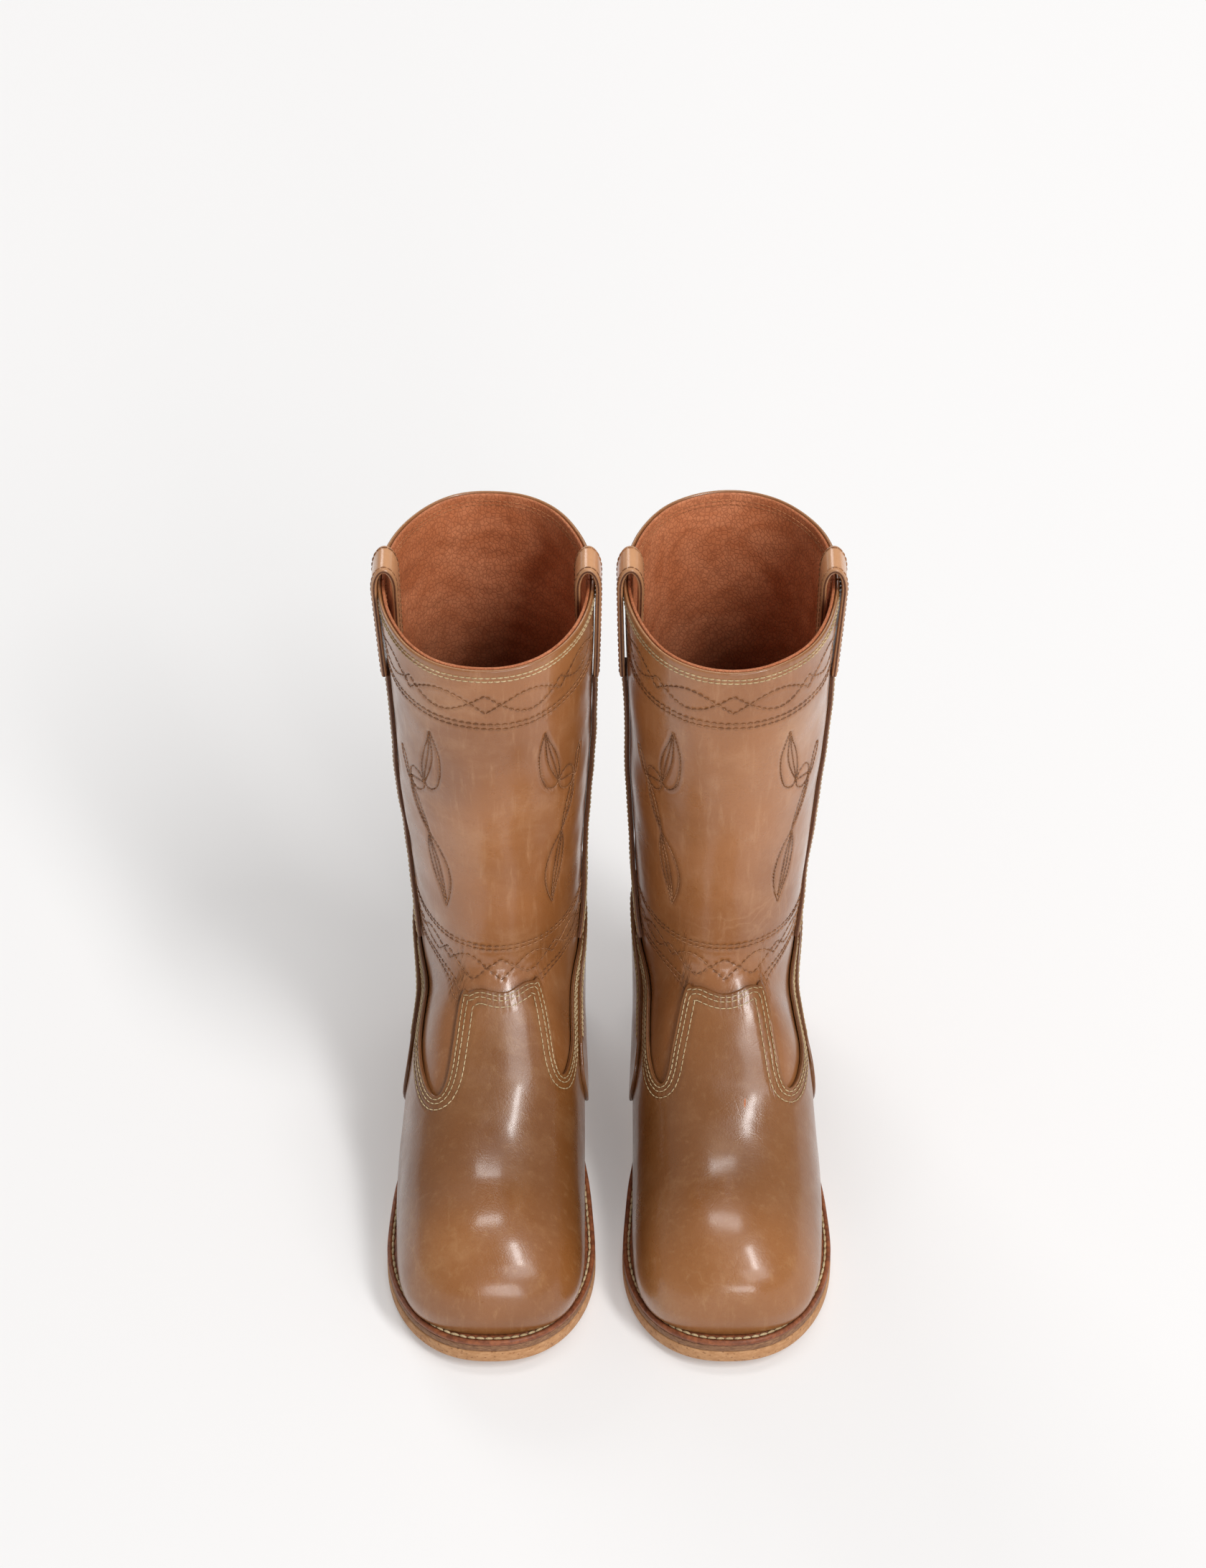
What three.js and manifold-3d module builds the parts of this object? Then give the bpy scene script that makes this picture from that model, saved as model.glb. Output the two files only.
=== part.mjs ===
// A pair of square-toed leather cowboy boots, standing side by side.
// Millimetres, +Z up, toes towards -Y, soles on Z = 0, origin midway under the pair.
//
// Each boot is drawn once, as the wearer's right boot, in boot coordinates:
// x across (towards the other boot), s along the sole from heel to toe, z up.
// The left boot is the same group mirrored.
import * as THREE from 'three';
import { mergeVertices } from 'three/addons/utils/BufferGeometryUtils.js';
import Module from 'manifold-3d';

// ---- driving dimensions ------------------------------------------------------
const SOLE_LENGTH = 278;
const BOOT_HEIGHT = 338;          // floor to the rim of the shaft
const HEEL_HEIGHT = 42;           // floor to the sole at the back
const TOE_SPRING = 6;
const INSTEP_HEIGHT = 99;         // above the sole where the shaft leaves the foot
const TOE_BOX_HEIGHT = 44;        // above the sole at the toe
const SHAFT_TOP_DEPTH = 0.475 * SOLE_LENGTH;   // front to back at the rim
const SHAFT_TOP_HALF_WIDTH = 51.5;
const ANKLE_HALF_WIDTH = 40.5;
const FOOT_HALF_WIDTH = 46;       // upper at the ball
const HEEL_HALF_WIDTH = 33;       // upper at the heel
const WELT_LEDGE = 6;             // how far the sole stands out past the upper
const SOLE_HALF_WIDTH = FOOT_HALF_WIDTH + WELT_LEDGE;  // at the ball
const SEAT_HALF_WIDTH = HEEL_HALF_WIDTH + WELT_LEDGE;  // over the heel
const WAIST_HALF_WIDTH = SEAT_HALF_WIDTH - 2;          // under the arch
const SPACING = 2 * SOLE_HALF_WIDTH + 11;              // between the boots' centre lines

const OUTSOLE_THICKNESS = 7.5;
const MIDSOLE_THICKNESS = 3.9;
const WELT_THICKNESS = 3;
const WELT_WIDTH = 20;
const INSOLE_THICKNESS = 2.8;
const SOCK_THICKNESS = 1.5;
const SHANK = { width: 15, thickness: 1.2, heelEnd: 44, toeEnd: 148 };
const LEATHER = 1.8;              // shaft, vamp and counter
const LINING = 1.5;
const STIFFENER = 1.5;
const TOE_PUFF = 1.2;
const GAP = 0.3;                  // between faces that touch on the real boot

const STRAP = {
  width: 18, thickness: 2.6, rise: 15, sway: 2,
  legBottom: BOOT_HEIGHT - 53.5, innerBottom: BOOT_HEIGHT - 48,
};
const STRIP = { halfWidth: 7, thickness: 2.2, start: 0.189, top: STRAP.legBottom - 1.5 };
const THREAD_RADIUS = 0.9;
const THREAD_INSET = 3;
const HEEL = { breast: 62, taper: 2.5, topPiece: 7, lift: 9.5 };
const NAIL = { radius: 1.3, headRadius: 3, headHeight: 1.4, clearance: 0.3 };

const SOLE_THICKNESS = OUTSOLE_THICKNESS + MIDSOLE_THICKNESS + WELT_THICKNESS + 2 * GAP;
const SEAT_HEIGHT = HEEL_HEIGHT + SOLE_THICKNESS;
const UPPER_START = 1.25;         // the upper begins this far above the welt

// ---- helpers -----------------------------------------------------------------
const clamp = (v, lo, hi) => Math.min(hi, Math.max(lo, v));
const mix = (a, b, t) => a + (b - a) * t;
const radians = THREE.MathUtils.degToRad;

// A smooth curve through [position, value] points.
function curve(points) {
  const last = points.length - 1;
  const slope = points.slice(1).map(([x, y], i) => (y - points[i][1]) / (x - points[i][0]));
  const tangent = points.map((_, i) => {
    if (i === 0) return slope[0];
    if (i === last) return slope[last - 1];
    const before = points[i][0] - points[i - 1][0];
    const after = points[i + 1][0] - points[i][0];
    return (slope[i - 1] * after + slope[i] * before) / (before + after);
  });
  return (position) => {
    const x = clamp(position, points[0][0], points[last][0]);
    let i = 0;
    while (i < last - 1 && x >= points[i + 1][0]) i += 1;
    const step = points[i + 1][0] - points[i][0];
    const t = (x - points[i][0]) / step;
    const t2 = t * t;
    const t3 = t2 * t;
    return (2 * t3 - 3 * t2 + 1) * points[i][1] + (t3 - 2 * t2 + t) * step * tangent[i]
      + (3 * t2 - 2 * t3) * points[i + 1][1] + (t3 - t2) * step * tangent[i + 1];
  };
}

const along = (fraction) => fraction * SOLE_LENGTH;
const upShaft = (fraction) => mix(SEAT_HEIGHT, BOOT_HEIGHT, fraction);

// ---- shape of the sole ---------------------------------------------------------
const soleProfile = curve([
  [0, HEEL_HEIGHT], [along(0.14), HEEL_HEIGHT * 0.93], [along(0.25), HEEL_HEIGHT * 0.83],
  [along(0.36), HEEL_HEIGHT * 0.62], [along(0.47), HEEL_HEIGHT * 0.29],
  [along(0.575), HEEL_HEIGHT * 0.06], [along(0.665), 0], [along(0.775), 0],
  [along(0.9), TOE_SPRING / 3], [SOLE_LENGTH, TOE_SPRING],
]);
const soleUnder = (s) => Math.max(soleProfile(s), 0);
const soleTop = (s) => soleUnder(s) + SOLE_THICKNESS;
const soleHalfWidth = curve([
  [0, SEAT_HALF_WIDTH - 3], [along(0.07), SEAT_HALF_WIDTH - 1], [along(0.16), SEAT_HALF_WIDTH],
  [along(0.27), mix(SEAT_HALF_WIDTH, WAIST_HALF_WIDTH, 0.6)], [along(0.38), WAIST_HALF_WIDTH],
  [along(0.5), mix(WAIST_HALF_WIDTH, SOLE_HALF_WIDTH, 0.4)],
  [along(0.61), mix(WAIST_HALF_WIDTH, SOLE_HALF_WIDTH, 0.84)],
  [along(0.7), SOLE_HALF_WIDTH], [SOLE_LENGTH, SOLE_HALF_WIDTH],
]);
const centreLine = curve([
  [0, 3], [along(0.22), 3.5], [along(0.4), 2.5], [along(0.54), 0], [SOLE_LENGTH, 0],
]);

// Half the width of the sole's outline at s, drawn in by an inset.
function outlineHalfWidth(s, inset) {
  const toeStart = SOLE_LENGTH - 72;
  const heelStart = 32;
  let end = 0;
  if (s > toeStart) end = ((s - toeStart) / (SOLE_LENGTH - inset - toeStart)) ** 2.1;
  if (s < heelStart) end = ((heelStart - s) / (heelStart - inset)) ** 2.2;
  return (soleHalfWidth(s) - inset) * Math.max(1 - end, 0) ** (1 / 2.35);
}

// ---- shape of the upper --------------------------------------------------------
// A smooth solid, negative inside: the lasted foot blended into the tube of the shaft.
const footHalfWidth = curve([
  [0, HEEL_HALF_WIDTH - 1.5], [along(0.07), HEEL_HALF_WIDTH],
  [along(0.16), mix(HEEL_HALF_WIDTH, FOOT_HALF_WIDTH, 0.2)],
  [along(0.27), mix(HEEL_HALF_WIDTH, FOOT_HALF_WIDTH, 0.4)],
  [along(0.38), mix(HEEL_HALF_WIDTH, FOOT_HALF_WIDTH, 0.58)],
  [along(0.5), mix(HEEL_HALF_WIDTH, FOOT_HALF_WIDTH, 0.82)],
  [along(0.61), FOOT_HALF_WIDTH - 0.5], [along(0.7), FOOT_HALF_WIDTH],
  [along(0.98), FOOT_HALF_WIDTH - 1],
]);
const footHeight = curve([
  [0, INSTEP_HEIGHT * 0.72], [along(0.4), INSTEP_HEIGHT * 0.95], [along(0.5), INSTEP_HEIGHT],
  [along(0.56), INSTEP_HEIGHT * 0.9], [along(0.62), mix(TOE_BOX_HEIGHT, INSTEP_HEIGHT, 0.55)],
  [along(0.69), mix(TOE_BOX_HEIGHT, INSTEP_HEIGHT, 0.33)],
  [along(0.76), mix(TOE_BOX_HEIGHT, INSTEP_HEIGHT, 0.19)],
  [along(0.84), mix(TOE_BOX_HEIGHT, INSTEP_HEIGHT, 0.115)],
  [along(0.975), TOE_BOX_HEIGHT],
]);
const TOE_END = SOLE_LENGTH - 8;
const HEEL_END = 6;
const TUCK = 0.08;                // share of its width that the upper draws in at the welt

function footField(x, s, z) {
  const above = Math.max(z - soleTop(s), 0);
  const width = footHalfWidth(s) * (1 - TUCK * Math.exp(-above / 6));
  const toeStart = TOE_END - 62;
  const heelStart = 40;
  const toeReach = TOE_END - toeStart + 1.5 * clamp(above / 12, 0, 1);
  const heelReach = heelStart - HEEL_END + 1.5 * clamp(above / 20, 0, 1);
  const toe = Math.max((s - toeStart) / toeReach, 0);
  const heel = Math.max((heelStart - s) / heelReach, 0);
  const total = (Math.abs(x - centreLine(s)) / width) ** 2.35
    + (above / footHeight(s)) ** 2.3 + toe ** 2.3 + heel ** 2.3;
  return (total ** (1 / 2.3) - 1) * 45;
}

const rimBack = 5;
const rimFront = rimBack + SHAFT_TOP_DEPTH;
const shaftHalfWidth = curve([
  [upShaft(0), ANKLE_HALF_WIDTH - 5], [upShaft(0.19), ANKLE_HALF_WIDTH],
  [upShaft(0.33), mix(ANKLE_HALF_WIDTH, SHAFT_TOP_HALF_WIDTH, 0.18)],
  [upShaft(0.47), mix(ANKLE_HALF_WIDTH, SHAFT_TOP_HALF_WIDTH, 0.36)],
  [upShaft(0.65), mix(ANKLE_HALF_WIDTH, SHAFT_TOP_HALF_WIDTH, 0.6)],
  [upShaft(0.865), SHAFT_TOP_HALF_WIDTH - 1.5], [upShaft(1), SHAFT_TOP_HALF_WIDTH],
]);
const shaftFront = curve([
  [upShaft(0), rimFront - 19], [upShaft(0.19), rimFront - 13], [upShaft(0.33), rimFront - 9],
  [upShaft(0.47), rimFront - 8], [upShaft(0.65), rimFront - 4.5], [upShaft(0.865), rimFront - 1],
  [upShaft(1), rimFront],
]);
const shaftBack = curve([
  [upShaft(0), rimBack + 5], [upShaft(0.08), rimBack + 4], [upShaft(0.19), rimBack + 5],
  [upShaft(0.33), rimBack + 8], [upShaft(0.47), rimBack + 9.5], [upShaft(0.65), rimBack + 8.5],
  [upShaft(0.865), rimBack + 3], [upShaft(1), rimBack],
]);
const shaftCentre = curve([
  [upShaft(0), 3.5], [upShaft(0.19), 3], [upShaft(0.5), 2], [upShaft(0.8), 1], [upShaft(1), 0],
]);

function shaftField(x, s, z) {
  const front = shaftFront(z);
  const back = shaftBack(z);
  const across = (Math.abs(x - shaftCentre(z)) / shaftHalfWidth(z)) ** 2.1;
  const deep = (Math.abs(s - (front + back) / 2) / ((front - back) / 2)) ** 2.1;
  return ((across + deep) ** (1 / 2.1) - 1) * 45;
}

const BLEND = 9;                  // softness of the instep where foot and shaft meet
function upperField(x, s, z) {
  const foot = footField(x, s, z);
  const shaft = shaftField(x, s, z);
  const h = clamp(0.5 + (0.5 * (shaft - foot)) / BLEND, 0, 1);
  return mix(shaft, foot, h) - BLEND * h * (1 - h);
}

// Levels run from 0 at the welt to 1 at the rim. Each is a tilted sheet that meets the
// front and the back of the boot at these places.
const frontAlong = curve([
  [0, TOE_END], [0.07, TOE_END + 1], [0.14, TOE_END - 6], [0.24, along(0.85)],
  [0.36, along(0.67)], [0.46, rimFront + 15], [0.56, rimFront - 4], [0.68, rimFront - 8],
  [0.84, rimFront - 3], [1, rimFront],
]);
const frontHeight = curve([
  [0, SOLE_THICKNESS + TOE_SPRING], [0.07, SOLE_THICKNESS + 0.57 * TOE_BOX_HEIGHT],
  [0.14, SOLE_THICKNESS + 0.93 * TOE_BOX_HEIGHT], [0.24, SOLE_THICKNESS + 1.18 * TOE_BOX_HEIGHT],
  [0.36, SOLE_THICKNESS + 1.52 * TOE_BOX_HEIGHT], [0.46, upShaft(0.195)], [0.56, upShaft(0.33)],
  [0.68, upShaft(0.51)], [0.84, upShaft(0.765)], [1, BOOT_HEIGHT],
]);
const backHeight = curve([
  [0, SEAT_HEIGHT], [0.07, upShaft(0.025)], [0.14, upShaft(0.053)], [0.24, upShaft(0.092)],
  [0.36, upShaft(0.139)], [0.46, upShaft(0.196)], [0.56, upShaft(0.295)], [0.68, upShaft(0.473)],
  [0.84, upShaft(0.744)], [1, BOOT_HEIGHT],
]);
const backAlong = curve([[0, HEEL_END], [0.5, rimBack + 4], [0.7, rimBack + 9], [1, rimBack]]);

function sheetHeight(level, s) {
  const slope = (frontHeight(level) - backHeight(level)) / (frontAlong(level) - backAlong(level));
  const flat = backHeight(level) + slope * (s - backAlong(level));
  const weltSlope = (frontHeight(0) - backHeight(0)) / (frontAlong(0) - backAlong(0));
  const weltFlat = backHeight(0) + weltSlope * (s - backAlong(0));
  const settle = clamp(1 - level / 0.3, 0, 1) ** 1.5;
  return flat + settle * (soleTop(s) + UPPER_START - weltFlat);
}

// Point on the upper at a level and an angle round it: 0 at the front, 90 on the inner
// side, 180 at the back, -90 on the outer side.
function skinPoint(level, angle) {
  const front = frontAlong(level);
  const back = backAlong(level);
  const middle = (front + back) / 2;
  const reach = (front - back) / 2;
  const toFront = Math.cos(radians(angle));
  const toSide = Math.sin(radians(angle));
  let inside = 0.05;
  let outside = 1.7;
  for (let i = 0; i < 32; i += 1) {
    const m = (inside + outside) / 2;
    const s = middle + reach * toFront * m;
    if (upperField(50 * toSide * m, s, sheetHeight(level, s)) < 0) inside = m;
    else outside = m;
  }
  const s = middle + reach * toFront * inside;
  return [50 * toSide * inside, s, sheetHeight(level, s)];
}

// The same point moved out (or in, if negative) square to the surface, and level at the
// welt, where every layer ends on it.
function skin(level, angle, out) {
  const [x, s, z] = skinPoint(level, angle);
  const step = 0.2;
  const normal = new THREE.Vector3(
    upperField(x + step, s, z) - upperField(x - step, s, z),
    upperField(x, s + step, z) - upperField(x, s - step, z),
    upperField(x, s, z + step) - upperField(x, s, z - step),
  );
  normal.z *= clamp(level / 0.06, 0, 1);
  normal.normalize();
  return [x + normal.x * out, s + normal.y * out, z + normal.z * out];
}

const place = ([x, s, z]) => [x, SOLE_LENGTH / 2 - s, z];

// ---- closed meshes ---------------------------------------------------------------
function signedVolume(points, faces) {
  let total = 0;
  for (const [a, b, c] of faces) {
    const [ax, ay, az] = points[a];
    const [bx, by, bz] = points[b];
    const [cx, cy, cz] = points[c];
    total += ax * (by * cz - bz * cy) + ay * (bz * cx - bx * cz) + az * (bx * cy - by * cx);
  }
  return total / 6;
}

function closedGeometry(bootPoints, faces) {
  const points = bootPoints.map(place);
  const inward = signedVolume(points, faces) < 0;
  const index = faces.flatMap(([a, b, c]) => (inward ? [a, c, b] : [a, b, c]));
  const geometry = new THREE.BufferGeometry();
  geometry.setAttribute('position', new THREE.Float32BufferAttribute(points.flat(), 3));
  geometry.setIndex(index);
  geometry.computeVertexNormals();
  return geometry;
}

const quad = (a, b, c, d) => [[a, b, c], [a, c, d]];

// A sheet of leather: columns of outer points and inner points, joined round the edges.
function sheetGeometry(across, up, outer, inner) {
  const points = [];
  const id = [[], []];
  [outer, inner].forEach((side, k) => {
    for (let i = 0; i <= across; i += 1) {
      id[k].push([]);
      for (let j = 0; j <= up; j += 1) {
        id[k][i].push(points.length);
        points.push(side(i / across, j / up));
      }
    }
  });
  const [o, n] = id;
  const faces = [];
  for (let i = 0; i < across; i += 1) {
    for (let j = 0; j < up; j += 1) {
      faces.push(...quad(o[i][j], o[i + 1][j], o[i + 1][j + 1], o[i][j + 1]));
      faces.push(...quad(n[i][j], n[i][j + 1], n[i + 1][j + 1], n[i + 1][j]));
    }
    faces.push(...quad(o[i][0], n[i][0], n[i + 1][0], o[i + 1][0]));
    faces.push(...quad(o[i][up], o[i + 1][up], n[i + 1][up], n[i][up]));
  }
  for (let j = 0; j < up; j += 1) {
    faces.push(...quad(o[0][j], o[0][j + 1], n[0][j + 1], n[0][j]));
    faces.push(...quad(o[across][j], n[across][j], n[across][j + 1], o[across][j + 1]));
  }
  return closedGeometry(points, faces);
}

// A run of equal polygons, joined into a ring or capped at both ends.
function loftGeometry(sections, ring = false) {
  const size = sections[0].length;
  const count = sections.length;
  const faces = [];
  for (let i = 0; i < (ring ? count : count - 1); i += 1) {
    const a = i * size;
    const b = ((i + 1) % count) * size;
    for (let k = 0; k < size; k += 1) {
      const next = (k + 1) % size;
      faces.push(...quad(a + k, b + k, b + next, a + next));
    }
  }
  if (!ring) {
    const end = (count - 1) * size;
    for (let k = 1; k < size - 1; k += 1) {
      faces.push([0, k, k + 1]);
      faces.push([end, end + k + 1, end + k]);
    }
  }
  return closedGeometry(sections.flat(), faces);
}

// One closed mesh cut out of another.
const wasm = await Module();
wasm.setup();
function solid(geometry) {
  const bare = new THREE.BufferGeometry();
  bare.setAttribute('position', geometry.getAttribute('position'));
  bare.setIndex(geometry.getIndex());
  const merged = mergeVertices(bare, 1e-4);
  return new wasm.Manifold(new wasm.Mesh({
    numProp: 3,
    vertProperties: new Float32Array(merged.getAttribute('position').array),
    triVerts: new Uint32Array(merged.getIndex().array),
  }));
}
function cut(geometry, tool) {
  const mesh = solid(geometry).subtract(solid(tool)).getMesh();
  const result = new THREE.BufferGeometry();
  result.setAttribute('position', new THREE.BufferAttribute(mesh.vertProperties, 3));
  result.setIndex(new THREE.BufferAttribute(mesh.triVerts, 1));
  result.computeVertexNormals();
  return result;
}

// ---- uppers ------------------------------------------------------------------------
const SEAM = 0.35;                // degrees left open at each side seam

// Top edge of the vamp: a square tongue at the front, a scoop each side, then up to the back.
const vampEdge = curve([
  [0, 0.492], [20, 0.49], [25, 0.482], [28, 0.44], [31, 0.405], [35, 0.376], [40, 0.355],
  [46, 0.346], [54, 0.352], [64, 0.375], [76, 0.4], [90, 0.415], [112, 0.42],
]);
// Top and bottom edges of the counter, which comes to a blunt nose on each side.
const counterEdge = curve([
  [84, 0.255], [88, 0.31], [93, 0.365], [100, 0.41], [120, 0.455], [150, 0.48], [180, 0.49],
]);
const counterFoot = curve([[84, 0.21], [88, 0.12], [93, 0.04], [100, 0], [180, 0]]);
const VAMP_EASE = 0.25;           // extra room under the vamp at its sharply bent tongue
const COUNTER_EASE = 0.8;         // extra room under the counter, which rides over two layers
const VAMP_BACK = 110;            // degrees round to the vamp's rear edge
// Every layer of the upper uses one grid, so that the layers stay parallel: columns at
// these angles, and rows that bend to put one of them along the vamp's edge.
const oneSide = [0, 12, 22, 26, 30, 35, 43, 54, 66, 78, 90, 100, 110, 125, 140, 155, 168, 180];
const columnAngles = [
  ...oneSide.slice(1, -1).reverse().map((angle) => -angle), ...oneSide,
  ...oneSide.slice(0, -1).reverse().map((angle) => 360 - angle),
];
const EDGE_ROW = 6;               // row along the vamp's edge
const RIM_ROW = 11;
const shaftRows = [0, 0.07, 0.2, 0.45, 0.72, 1];
const VAMP_TOP_ROW = 5.85;        // just short of that row, clear of the bend above it
const UNDERLAP_ROW = 5;           // the shaft's front ends here, behind the vamp
function rowLevel(row, angle) {
  const edge = vampEdge(Math.min(Math.abs(angle), 360 - Math.abs(angle)));
  if (row <= EDGE_ROW) return (edge * row) / EDGE_ROW;
  const above = Math.floor(row - EDGE_ROW);
  const share = mix(shaftRows[above], shaftRows[above + 1] ?? 1, row - EDGE_ROW - above);
  return mix(edge, 1, share);
}

// A panel between two angles and two rows, lying between two depths in the stack of layers.
function panel(from, to, lowRow, highRow, outer, inner) {
  const inRange = columnAngles.filter((angle) => angle > from + 1.5 && angle < to - 1.5);
  const angles = [from, ...inRange, to];
  const rows = Math.ceil(highRow - lowRow);
  const at = (depth) => (u, v) => {
    const angle = angles[Math.round(u * (angles.length - 1))];
    const gridPoint = (row) => {
      const level = rowLevel(row, angle);
      return skin(level, angle, depth(level));
    };
    const row = Math.min(lowRow + Math.round(v * rows), highRow);
    const share = row - Math.floor(row);
    const below = gridPoint(Math.floor(row));
    return below.map((value, k) => mix(value, gridPoint(Math.ceil(row))[k], share));
  };
  return sheetGeometry(angles.length - 1, rows, at(outer), at(inner));
}
const fixed = (value) => () => value;

const shaftOuter = fixed(0);
const shaftInner = fixed(-LEATHER);
const liningOuter = fixed(-LEATHER - GAP);
const liningInner = fixed(-LEATHER - GAP - LINING);

function shaftFrontPanel() {
  return panel(-90 + SEAM, 90 - SEAM, UNDERLAP_ROW, RIM_ROW, shaftOuter, shaftInner);
}
function shaftBackPanel() {
  return panel(90 + SEAM, 270 - SEAM, 0, RIM_ROW, shaftOuter, shaftInner);
}
function frontLining() {
  return panel(-90 + SEAM, 90 - SEAM, UNDERLAP_ROW, RIM_ROW, liningOuter, liningInner);
}
function backLining() {
  return panel(90 + SEAM, 270 - SEAM, 0, RIM_ROW, liningOuter, liningInner);
}

// The vamp's lining lies in the layer of the shaft below it, and drops in under the toe puff.
const puffDrop = (level) => (TOE_PUFF + GAP) * clamp((0.24 - level) / 0.08, 0, 1);
function vampPanel() {
  const under = GAP + VAMP_EASE;
  return panel(-VAMP_BACK, VAMP_BACK, 0, VAMP_TOP_ROW, fixed(under + LEATHER), fixed(under));
}
function vampLining() {
  const outer = (level) => -puffDrop(level);
  const inner = (level) => -puffDrop(level) - LINING;
  return panel(-90 + SEAM, 90 - SEAM, 0, UNDERLAP_ROW - 0.05, outer, inner);
}
function toePuff() {
  return panel(-54, 54, 0, 2, fixed(0), fixed(-TOE_PUFF));
}

// The counter wraps the back of the heel over the vamp's rear ends, with the stiffener
// under it between those ends.
const COUNTER_FRONT = 84;
function counterPanel() {
  const inRange = columnAngles.filter((angle) => angle > 98 && angle < 262);
  const nose = [COUNTER_FRONT, COUNTER_FRONT + 4, 93];
  const angles = [...nose, ...inRange, ...nose.map((angle) => 360 - angle).reverse()];
  const rows = EDGE_ROW;
  const at = (depth) => (u, v) => {
    const angle = angles[Math.round(u * (angles.length - 1))];
    const fromFront = angle < 180 ? angle : 360 - angle;
    return skin(mix(counterFoot(fromFront), counterEdge(fromFront), v), angle, depth);
  };
  const under = LEATHER + 2 * GAP + COUNTER_EASE;
  return sheetGeometry(angles.length - 1, rows, at(under + LEATHER), at(under));
}
function counterStiffener() {
  const from = VAMP_BACK + 0.5;
  return panel(from, 360 - from, 0, UNDERLAP_ROW, fixed(GAP + STIFFENER), fixed(GAP));
}

// Narrow strip over a side seam, kept to one width all the way up.
function seamStrip(side) {
  const sections = [];
  const rows = 12;
  const levelOf = (z) => {
    let low = 0;
    let high = 1;
    for (let i = 0; i < 24; i += 1) {
      const m = (low + high) / 2;
      if (skinPoint(m, side)[2] < z) low = m;
      else high = m;
    }
    return low;
  };
  const first = levelOf(upShaft(STRIP.start));
  const last = levelOf(STRIP.top);
  for (let j = 0; j <= rows; j += 1) {
    const level = mix(first, last, j / rows);
    const reach = (frontAlong(level) - backAlong(level)) / 2;
    const turn = Math.sign(side) * THREE.MathUtils.radToDeg(STRIP.halfWidth / reach);
    const outer = [-1, 0, 1].map((k) => skin(level, side + k * turn, GAP + STRIP.thickness));
    const inner = [1, 0, -1].map((k) => skin(level, side + k * turn, GAP));
    sections.push([...outer, ...inner]);
  }
  return sections;
}
function seamStripGeometry(side) {
  const sections = seamStrip(side);
  return sheetGeometry(
    2,
    sections.length - 1,
    (u, v) => sections[Math.round(v * (sections.length - 1))][Math.round(2 * u)],
    (u, v) => sections[Math.round(v * (sections.length - 1))][5 - Math.round(2 * u)],
  );
}

// Pull strap: an upturned U over the rim, drawn in the x-z plane and as wide as the strap.
// Its inner leg stands off the curved lining far enough to sway with the strap.
function pullStrap(side) {
  const sign = Math.sign(side);
  const wall = (z) => sign * shaftCentre(z) + shaftHalfWidth(z);
  const outside = (z) => wall(z) + GAP + 0.15;
  const inside = (z) => {
    const up = (z - STRAP.innerBottom) / (BOOT_HEIGHT - STRAP.innerBottom);
    return wall(z) - LEATHER - 2 * GAP - LINING - 0.6 - STRAP.sway * clamp(up, 0, 1);
  };
  const top = BOOT_HEIGHT + 2;
  const middle = (outside(top) + inside(top)) / 2;
  const innerRadius = (outside(top) - inside(top)) / 2;
  const arch = (radius, height, k) => {
    const turn = (Math.PI * k) / 8;
    return [middle + radius * Math.cos(turn), top + height * Math.sin(turn)];
  };
  const steps = [...Array(9).keys()];
  const legHeights = [0, 0.5].map((f) => mix(STRAP.legBottom, BOOT_HEIGHT, f));
  const innerHeights = [0, 0.5].map((f) => mix(STRAP.innerBottom, BOOT_HEIGHT, f));
  const rise = STRAP.rise - 2;
  const outline = [
    ...legHeights.map((z) => [outside(z) + STRAP.thickness, z]),
    ...steps.map((k) => arch(innerRadius + STRAP.thickness, rise, k)),
    ...innerHeights.reverse().map((z) => [inside(z) - STRAP.thickness, z]),
    ...innerHeights.reverse().map((z) => [inside(z), z]),
    ...steps.reverse().map((k) => arch(innerRadius, rise - STRAP.thickness, k)),
    ...legHeights.reverse().map((z) => [outside(z), z]),
  ];
  const shape = new THREE.Shape(outline.map(([x, z]) => new THREE.Vector2(sign * x, z)));
  const geometry = new THREE.ExtrudeGeometry(shape, { depth: STRAP.width, bevelEnabled: false });
  geometry.rotateX(Math.PI / 2);
  const centre = (shaftFront(STRAP.legBottom) + shaftBack(STRAP.legBottom)) / 2;
  geometry.translate(0, SOLE_LENGTH / 2 - centre + STRAP.width / 2, 0);
  return geometry;
}

// ---- bottom --------------------------------------------------------------------------
// The underside runs straight from one station to the next, so that stacked layers stay
// parallel however long each one is.
const STATIONS = 28;
const stationStep = SOLE_LENGTH / STATIONS;
function solePlane(s) {
  const i = clamp(Math.floor(s / stationStep), 0, STATIONS - 1);
  return mix(soleUnder(i * stationStep), soleUnder((i + 1) * stationStep), s / stationStep - i);
}
function stationsBetween(from, to, extra = []) {
  const all = [from, to, ...extra];
  for (let i = 0; i <= STATIONS; i += 1) {
    const s = i * stationStep;
    const clear = all.every((other) => Math.abs(other - s) > 1);
    if (s > from && s < to && clear) all.push(s);
  }
  return all.sort((one, other) => one - other);
}

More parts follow.
